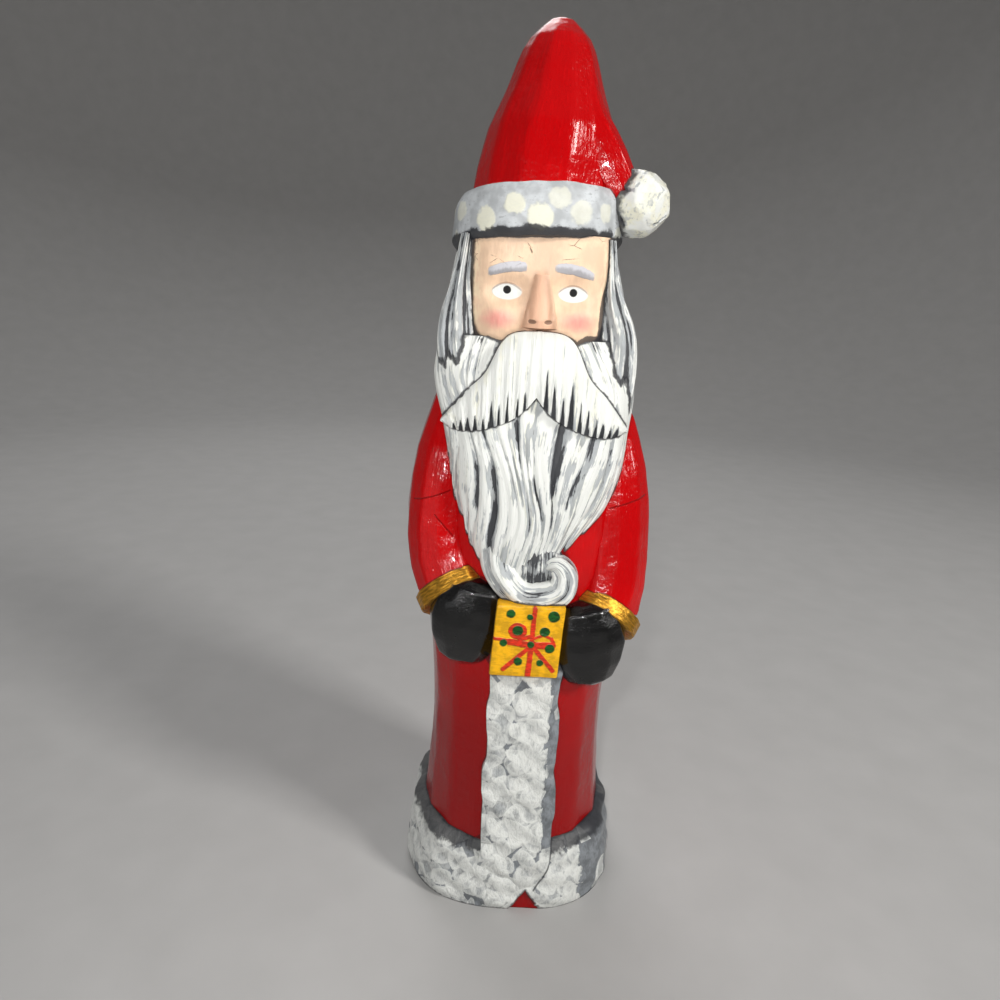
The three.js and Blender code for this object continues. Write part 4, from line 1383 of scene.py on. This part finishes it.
def face_paint(colours):
    """Flesh paint with blotches, blush, brows, eyes and fine cracks, with painted shade on the nose and a painted
    shadow along its borders.
    """
    paint = Finish("face paint", Specular_IOR_Level=0.42)
    where = paint.place()
    x, _, z = paint.axes(where)
    depth, _ = paint.cut_depth()
    patch = paint.noise(where, 0.14, 3.0)
    brush = paint.noise(paint.flow(0.9, 0.25), 1.0, 3.0, 0.6)
    wobble = (paint.noise(where, 0.5) - 0.5) * 1.2
    side = abs(x - FACE_MIDDLE)
    colour = paint.tones(patch + (brush - 0.5) * 0.25, 0.36, 0.64, colours.flesh, 0.88, 1.06)
    cheek = ((side - CHEEK[0]) ** 2.0 / 34.0 + (z - CHEEK[1]) ** 2.0 / 12.0) ** 0.5
    cheek = paint.ease(cheek + wobble * 0.3, 1.25, 0.2)
    colour = paint.mix(cheek * (0.45 + brush * 0.5), colour, colours.blush)
    # Painted light and shade on the nose: tan, lighter down its ridge and darker on its flanks
    bridge = paint.ease(side + wobble * 0.4 + (z - NOSE_FOOT) * 0.22, 6.4, 4.4)
    tall = paint.ease(z + wobble, 230.5, 226.0) * paint.ease(z + wobble * 0.3, 209.5, 211.0)
    nose_shade = paint.tones(side + (brush - 0.5) * 1.5 + (z - NOSE_FOOT) * 0.2, 2.2, 5.2, colours.nose, 1.3, 0.8)
    colour = paint.mix(bridge * tall * 0.85, colour, nose_shade)
    # Painted shade in the cut nostrils and the creases beside them
    nostril_shade = paint.ease(depth + wobble * 0.2, 0.35, 0.9) * bridge * tall
    colour = paint.mix(nostril_shade * 0.85, colour, shade(colours.nose, 0.3))
    out = side - EYE_APART
    arch = z - BROW_HEIGHT + out * 0.16 + out * out * 0.02 + wobble * 0.5
    brow = paint.ease(((out / 6.2) ** 4.0 + (arch / 1.6) ** 4.0) ** 0.25 + (brush - 0.5) * 0.3, 1.06, 0.9)
    silver = paint.tones(arch + (patch - 0.5) * 3.0 + (brush - 0.5) * 1.5, -0.5, 0.7, colours.brow, 0.85, 1.4)
    colour = paint.mix(brow * 0.95, colour, silver)
    eye = paint.ease((out ** 2.0 / 22.0 + (z - EYE_HEIGHT + wobble * 0.15) ** 2.0 / 6.0) ** 0.5, 1.06, 0.94)
    colour = paint.mix(eye, colour, shade(colours.white, 0.98))
    lid = paint.ease(abs(z - (EYE_HEIGHT + 2.6) + out * out * 0.1) + wobble * 0.25, 0.42, 0.2)
    lid = lid * paint.ease(abs(out), 5.2, 4.0)
    colour = paint.mix(lid * 0.6, colour, shade(colours.nose, 0.45))
    pupil = paint.ease((out ** 2.0 + (z - (EYE_HEIGHT + 0.5)) ** 2.0) ** 0.5 + (patch - 0.5) * 0.8, 1.3, 1.05)
    colour = paint.mix(pupil, colour, shade(colours.black, 0.5))
    hairline = paint.add("TexVoronoi", {"feature": "DISTANCE_TO_EDGE"}, {
        "Vector": paint.place((0.16, 0.16, 0.3)), "Scale": 1.0, "Randomness": 1.0,
    })
    cracks = paint.ease(hairline + (brush - 0.5) * 0.05, 0.02, 0.006) * paint.ease(patch, 0.52, 0.6)
    cracks = cracks * paint.ease(z, 229.0, 232.0)
    colour = paint.mix(cracks * 0.8, colour, (0.09, 0.045, 0.025))
    rim = paint.ease(side + wobble + (patch - 0.5) * 4.0, 17.5, 20.5) * paint.ease(brush, 0.4, 0.6)
    colour = paint.mix(rim * 0.4, colour, shade(colours.flesh, 1.35))
    shadow = paint.by_seam(paint.noise(where, 0.6) * 1.6, 2.6, 0.8)
    colour = paint.mix(shadow * 0.5, colour, shade(colours.flesh, 0.5))
    below = (z - 224.0).least(0.0)
    corner = ((side / 20.8) ** 4.0 + (below / 19.0) ** 4.0) ** 0.25 + wobble * 0.03
    colour = paint.mix(paint.ease(corner, 0.985, 1.03) * 0.92, colour, colours.charcoal)
    heavy = paint.ease(x, 8.0, 14.0) * paint.ease(z, 227.0, 216.0)
    line = paint.by_seam(paint.noise(where, 0.8) * 0.6 - heavy * 1.5, 0.75, 0.4)
    colour = paint.mix(line * 0.85, colour, shade(colours.charcoal, 1.2))
    rough = 0.42 + brush * 0.16 + pupil * 0.2
    return paint.finish(colour, rough, brush + patch * 0.4 - cracks + eye * 0.5 + brow * 0.6, 0.2)


def gold_paint(colours):
    """Gold paint brushed across the cuffs, thin at its edges."""
    paint = Finish("gold paint", Specular_IOR_Level=0.5)
    where = paint.place()
    streaks = paint.noise(paint.flow(0.35, 1.6), 1.0, 3.0, 0.6)
    patch = paint.noise(where, 0.4, 2.0)
    colour = paint.tones(streaks, 0.35, 0.65, colours.gold, 0.62, 1.2)
    worn = paint.by_seam(patch * 1.1, 1.0, 0.5)
    colour = paint.mix(worn * 0.75, colour, shade(colours.gold, 0.16))
    metal = 0.88 - worn * 0.6
    return paint.finish(colour, 0.26 + streaks * 0.2 + worn * 0.2, streaks + patch, 0.25, metal)


def mitten_paint(colours):
    """Glossy black paint, rubbed a little grey on the ridges."""
    paint = Finish("mitten paint", Specular_IOR_Level=0.35, Coat_Weight=0.6, Coat_Roughness=0.04)
    where = paint.place()
    patch = paint.noise(where, 0.18, 3.0)
    grain = paint.noise(where, 1.6, 3.0)
    rubbed = paint.ease(patch + (grain - 0.5) * 0.5, 0.6, 0.74)
    colour = paint.mix(rubbed * 0.2, shade(colours.black, 0.4), shade(colours.black, 3.0))
    edge = paint.by_seam(grain * 0.9, 0.9, 0.5)
    colour = paint.mix(edge * 0.6, colour, colours.charcoal)
    return paint.finish(colour, 0.16 + rubbed * 0.2 + grain * 0.06, grain * 0.9 + patch * 1.6, 0.26)


def present_paint(colours):
    """Yellow wrapping with a red ribbon and bow and green dots."""
    paint = Finish("present paint", Specular_IOR_Level=0.45)
    where = paint.place()
    x, y, z = paint.axes(where)
    wobble = (paint.noise(where, 0.6) - 0.5) * 1.2
    px, pz = x + wobble * 0.5, z + wobble * 0.4
    front = paint.ease(y, -39.2, -40.0)
    patch = paint.noise(where, 0.2, 3.0)
    brush = paint.noise(paint.place((0.5, 0.5, 1.3)), 1.0, 3.0)
    colour = paint.tones(patch + (brush - 0.5) * 0.5, 0.38, 0.64, colours.yellow, 0.78, 1.12)
    loop = ((px + 2.4) ** 2.0 + ((pz - 114.4) / 0.95) ** 2.0) ** 0.5
    strokes = [paint.stroke(px, pz, *stroke) for stroke in RIBBON]
    red = most_of([paint.dot(px, pz, KNOT, 1.9), *strokes, paint.ease(abs(loop - 2.3), 0.95, 0.65)])
    ribbon = paint.tones(brush, 0.4, 0.62, colours.ribbon, 0.8, 1.35)
    colour = paint.mix(red * front * 0.95, colour, ribbon)
    green = most_of([paint.dot(px, pz, (dx, dz), radius, 0.22) for dx, dz, radius in PRESENT_DOTS])
    leaf = paint.tones(brush, 0.35, 0.6, colours.green, 0.45, 1.2)
    colour = paint.mix(green * front, colour, leaf)
    line = paint.by_seam(paint.noise(where, 0.7) * 0.8, 0.8, 0.4)
    colour = paint.mix(line * 0.8, colour, shade(colours.charcoal, 1.2))
    return paint.finish(colour, 0.36 + brush * 0.12, brush + red * 0.8 + green * 0.9, 0.22)


def raw_wood(colours):
    """The bare underside, end grain with saw marks."""
    paint = Finish("raw wood", Specular_IOR_Level=0.3)
    where = paint.place((0.08, 1.0, 1.0))
    rings = paint.noise(where, 0.35, 4.0, 0.6, 0.4)
    pores = paint.noise(paint.place(), 2.2, 2.0)
    colour = paint.tones(rings, 0.35, 0.65, colours.wood, 0.72, 1.05)
    colour = paint.mix(paint.ease(pores, 0.62, 0.72) * 0.5, colour, shade(colours.wood, 0.4))
    return paint.finish(colour, 0.7 + pores * 0.1, rings + pores, 0.15)


PAINTS = {
    "red paint": red_paint, "hair paint": hair_paint, "fur paint": fur_paint, "brim paint": brim_paint,
    "pompom paint": pompom_paint, "face paint": face_paint, "gold paint": gold_paint,
    "mitten paint": mitten_paint, "present paint": present_paint, "raw wood": raw_wood,
    "beard paint": functools.partial(hair_paint, name="beard paint", thin=0.08, crown=0.35),
    "moustache paint": functools.partial(hair_paint, name="moustache paint", thin=0.0, dry=0.12),
}


def painted(context, name):
    """The material of a paint, made when it is first wanted."""
    return bpy.data.materials.get(name) or PAINTS[name](context.scene.paint_colours)


# ---------------------------------------------------------------- operators

class SANTA_OT_coat(bpy.types.Operator):
    """Carve the coat, its fur hem and the fur strip down the front"""

    bl_idname = "santa.coat"
    bl_label = "Coat and fur"

    def execute(self, context):
        plan = Plan(context.scene.carving_sizes)
        carve_coat(plan, painted(context, "red paint"))
        carve_hem(plan, painted(context, "fur paint"), painted(context, "red paint"))
        carve_strip(plan, painted(context, "fur paint"))
        return {"FINISHED"}


class SANTA_OT_arms(bpy.types.Operator):
    """Carve both sleeves with their gold cuffs and black mittens"""

    bl_idname = "santa.arms"
    bl_label = "Arms"

    def execute(self, context):
        plan = Plan(context.scene.carving_sizes)
        for side, way, drop, grip, hold in (("right", -1, 0, 0.6, 8.6), ("left", 1, 4, 0.365, 9.7)):
            points, hand = plan.arm(way, drop, grip, hold)
            carve_sleeve(side, points, painted(context, "red paint"))
            carve_cuff(side, points[-1], hand, painted(context, "gold paint"))
            carve_mitten(plan, side, way, hand, painted(context, "mitten paint"))
        return {"FINISHED"}


class SANTA_OT_present(bpy.types.Operator):
    """Carve the present held in front"""

    bl_idname = "santa.present"
    bl_label = "Present"

    def execute(self, context):
        carve_present(Plan(context.scene.carving_sizes), painted(context, "present paint"))
        return {"FINISHED"}


class SANTA_OT_hair(bpy.types.Operator):
    """Carve the hair, side locks, beard, curl and moustache"""

    bl_idname = "santa.hair"
    bl_label = "Hair and beard"

    def execute(self, context):
        plan = Plan(context.scene.carving_sizes)
        hair, beard, moustache = (painted(context, f"{part} paint") for part in ("hair", "beard", "moustache"))
        carve_hair(plan, hair)
        carve_beard(plan, beard)
        carve_curl(plan, beard)
        carve_curl_bed(plan, beard)
        for side, way in (("right", -1), ("left", 1)):
            carve_side_lock(plan, side, way, hair)
            carve_moustache(plan, side, way, moustache)
        return {"FINISHED"}


class SANTA_OT_face(bpy.types.Operator):
    """Carve the face and the nose"""

    bl_idname = "santa.face"
    bl_label = "Face"

    def execute(self, context):
        plan = Plan(context.scene.carving_sizes)
        carve_face(plan, painted(context, "face paint"))
        carve_nose(plan, painted(context, "face paint"))
        return {"FINISHED"}


class SANTA_OT_hat(bpy.types.Operator):
    """Carve the hat, its brim, its folded tail and the pompom"""

    bl_idname = "santa.hat"
    bl_label = "Hat"

    def execute(self, context):
        plan = Plan(context.scene.carving_sizes)
        carve_hat(plan, painted(context, "red paint"))
        carve_tail(plan, painted(context, "red paint"))
        carve_brim(plan, painted(context, "brim paint"))
        carve_pompom(plan, painted(context, "pompom paint"))
        return {"FINISHED"}


class SANTA_OT_join(bpy.types.Operator):
    """Join every form into the one carved figure and hand it to the frame"""

    bl_idname = "santa.join"
    bl_label = "Join the carving"

    def execute(self, context):
        carving, *others = bpy.data.collections[FORMS].objects
        for form in others:
            join_by(carving, form, "UNION")
        carving.name = carving.data.name = "santa_carving"
        carving = outer_skin(carving)
        fit_frame(carving)
        bare_underside(carving, painted(context, "raw wood"))
        mark_seams(carving)
        pick(carving)
        bpy.ops.object.shade_smooth_by_angle(angle=SMOOTH_BELOW)
        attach(carving, "root")
        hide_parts(NODE)
        return {"FINISHED"}


def outer_skin(carving):
    """Merges doubled corners, then drops slivers of no thickness and what is closed in between the forms."""
    with editing(carving):
        bpy.ops.mesh.remove_doubles(threshold=MERGE_WITHIN)
        mesh = bmesh.from_edit_mesh(carving.data)
        faces_on = {}
        for face in mesh.faces:
            faces_on.setdefault(frozenset(face.verts), []).append(face)
        slivers = [face for faces in faces_on.values() if len(faces) > 1 for face in faces]
        bmesh.ops.delete(mesh, geom=slivers, context="FACES")
        bmesh.update_edit_mesh(carving.data)
        bpy.ops.mesh.separate(type="LOOSE")
    parts = sorted(bpy.data.collections[FORMS].objects, key=lambda part: len(part.data.vertices))
    skin = parts.pop()
    for part in parts:
        bpy.data.objects.remove(part)
    skin.name = skin.data.name = "santa_carving"
    return skin


def fit_frame(carving):
    """Keeps the carving inside the box of the frame, with its foot on the ground."""
    places = corners_of(carving)
    low, high = np.array(FRAME_BOX[0]), np.array(FRAME_BOX[1])
    with np.errstate(divide="ignore", invalid="ignore"):
        shares = np.where(places < 0, low / places, high / places)
    outside = (places < low) | (places > high)
    share = np.min(shares[outside & (np.abs(places) > 1 * MM)], initial=1.0)
    places = places * share
    places[:, 2] = np.maximum(places[:, 2], 0)
    move_corners(carving, places / MM)


def bare_underside(carving, finish):
    """Leaves the flat underside unpainted."""
    carving.data.materials.append(finish)
    index = len(carving.data.materials) - 1
    for face in carving.data.polygons:
        if face.normal.z < FACES_DOWN and face.center.z < UNDERSIDE_BAND:
            face.material_index = index


def mark_seams(carving):
    """Keeps on each corner how far it is, in millimetres, to the next colour."""
    mesh = carving.data
    owner = read(mesh.loops, "vertex_index")
    colour = np.repeat(read(mesh.polygons, "material_index"), read(mesh.polygons, "loop_total"))
    low = np.full(len(mesh.vertices), 99)
    high = np.full(len(mesh.vertices), -1)
    np.minimum.at(low, owner, colour)
    np.maximum.at(high, owner, colour)
    border = np.flatnonzero(low != high)
    tree = KDTree(len(border))
    for index in border:
        tree.insert(mesh.vertices[index].co, index)
    tree.balance()
    away = [tree.find(vertex.co)[2] / MM for vertex in mesh.vertices]
    layer = mesh.attributes.new("seam", "FLOAT", "POINT")
    layer.data.foreach_set("value", away)


def lay_floor():
    """A round pale floor whose rim sweeps up all round into a wall."""
    floor = new_blank(
        "floor", bpy.ops.mesh.primitive_circle_add, vertices=96, radius=FLOOR_RADIUS, fill_type="TRIFAN",
        location=(0, 0, -0.05 * MM),
    )
    bpy.ops.object.transform_apply(location=True, rotation=True, scale=True)
    turns = np.linspace(0, math.pi / 2, 13)[1:]
    sweep = [(FLOOR_RADIUS + FLOOR_SWEEP * math.sin(a), FLOOR_SWEEP * (1 - math.cos(a))) for a in turns]
    with editing(floor):
        select_edges(floor, lambda edge: edge.is_boundary)
        reach, rise = FLOOR_RADIUS, 0.0
        for next_reach, next_rise in [*sweep, (FLOOR_RADIUS + FLOOR_SWEEP, WALL_TOP)]:
            bpy.ops.mesh.extrude_edges_move(TRANSFORM_OT_translate={"value": (0, 0, next_rise - rise)})
            share = next_reach / reach
            bpy.ops.transform.resize(value=(share, share, 1), center_override=(0, 0, 0))
            reach, rise = next_reach, next_rise
    bpy.ops.object.shade_smooth()
    paint = Finish("floor paint", Specular_IOR_Level=0.2)
    tone = paint.noise(paint.add("TexCoord", output="Object"), 40.0, 3.0)
    colour = paint.mix(tone, (0.42, 0.415, 0.41), (0.48, 0.475, 0.47))
    floor.data.materials.append(paint.finish(colour, 0.8 + tone * 0.05, tone, 0.1))
    return floor


def hang_light(name, place, target, size, power, colour):
    """A square light at a place, turned to its target."""
    light = bpy.data.lights.new(name, "AREA")
    light.size, light.energy, light.color = size, power, colour
    way = Vector(target) - Vector(place)
    lamp = bpy.data.objects.new(name, light)
    bpy.context.scene.collection.objects.link(lamp)
    lamp.matrix_world = Matrix.Translation(place) @ way.to_track_quat("-Z", "Y").to_matrix().to_4x4()


def set_world():
    """An even, dim grey all round."""
    world = bpy.data.worlds.new("studio")
    world.use_nodes = True
    ground = world.node_tree.nodes["Background"].inputs
    ground["Color"].default_value = (WORLD_GREY, WORLD_GREY, WORLD_GREY, 1)
    ground["Strength"].default_value = WORLD_STRENGTH
    bpy.context.scene.world = world


def set_camera():
    """The camera, level with the face and tipped a little down and to one side."""
    camera = bpy.data.cameras.new("camera")
    camera.lens, camera.sensor_width = LENS, SENSOR
    camera.clip_start = 0.01
    viewer = bpy.data.objects.new("camera", camera)
    bpy.context.scene.collection.objects.link(viewer)
    viewer.matrix_world = (
        Matrix.Translation(VIEWPOINT) @ Matrix.Rotation(math.radians(CAMERA_TIP), 4, "X")
        @ Matrix.Rotation(math.radians(CAMERA_ROLL), 4, "Z")
    )
    bpy.context.scene.camera = viewer


class SANTA_OT_stage(bpy.types.Operator):
    """Lay the floor and set the lights and the camera"""

    bl_idname = "santa.stage"
    bl_label = "Stage"

    def execute(self, context):
        context.scene.view_settings.view_transform = "Standard"
        floor = lay_floor()
        for name, light in LIGHTS.items():
            hang_light(name, *light)
        set_world()
        set_camera()
        return {"FINISHED"}


class SANTA_PT_carving(bpy.types.Panel):
    """Lists the steps of the carving"""

    bl_idname = "SANTA_PT_carving"
    bl_label = "Carved Santa"
    bl_space_type = "VIEW_3D"
    bl_region_type = "UI"
    bl_category = "Carving"

    def draw(self, context):
        for step in STEPS:
            self.layout.operator(step.bl_idname)
        for group in (context.scene.carving_sizes, context.scene.paint_colours):
            box = self.layout.box()
            for name in type(group).__annotations__:
                box.prop(group, name)


STEPS = (
    SANTA_OT_coat, SANTA_OT_arms, SANTA_OT_present, SANTA_OT_hair, SANTA_OT_face, SANTA_OT_hat, SANTA_OT_join,
    SANTA_OT_stage,
)
CLASSES = (CarvingSizes, PaintColours, *STEPS, SANTA_PT_carving)


def register():
    for entry in CLASSES:
        bpy.utils.register_class(entry)
    bpy.types.Scene.carving_sizes = bpy.props.PointerProperty(type=CarvingSizes)
    bpy.types.Scene.paint_colours = bpy.props.PointerProperty(type=PaintColours)


def unregister():
    del bpy.types.Scene.paint_colours
    del bpy.types.Scene.carving_sizes
    for entry in reversed(CLASSES):
        bpy.utils.unregister_class(entry)


def main():
    register()
    for step in STEPS:
        group, name = step.bl_idname.split(".")
        getattr(getattr(bpy.ops, group), name)()


if __name__ == "__main__":
    main()
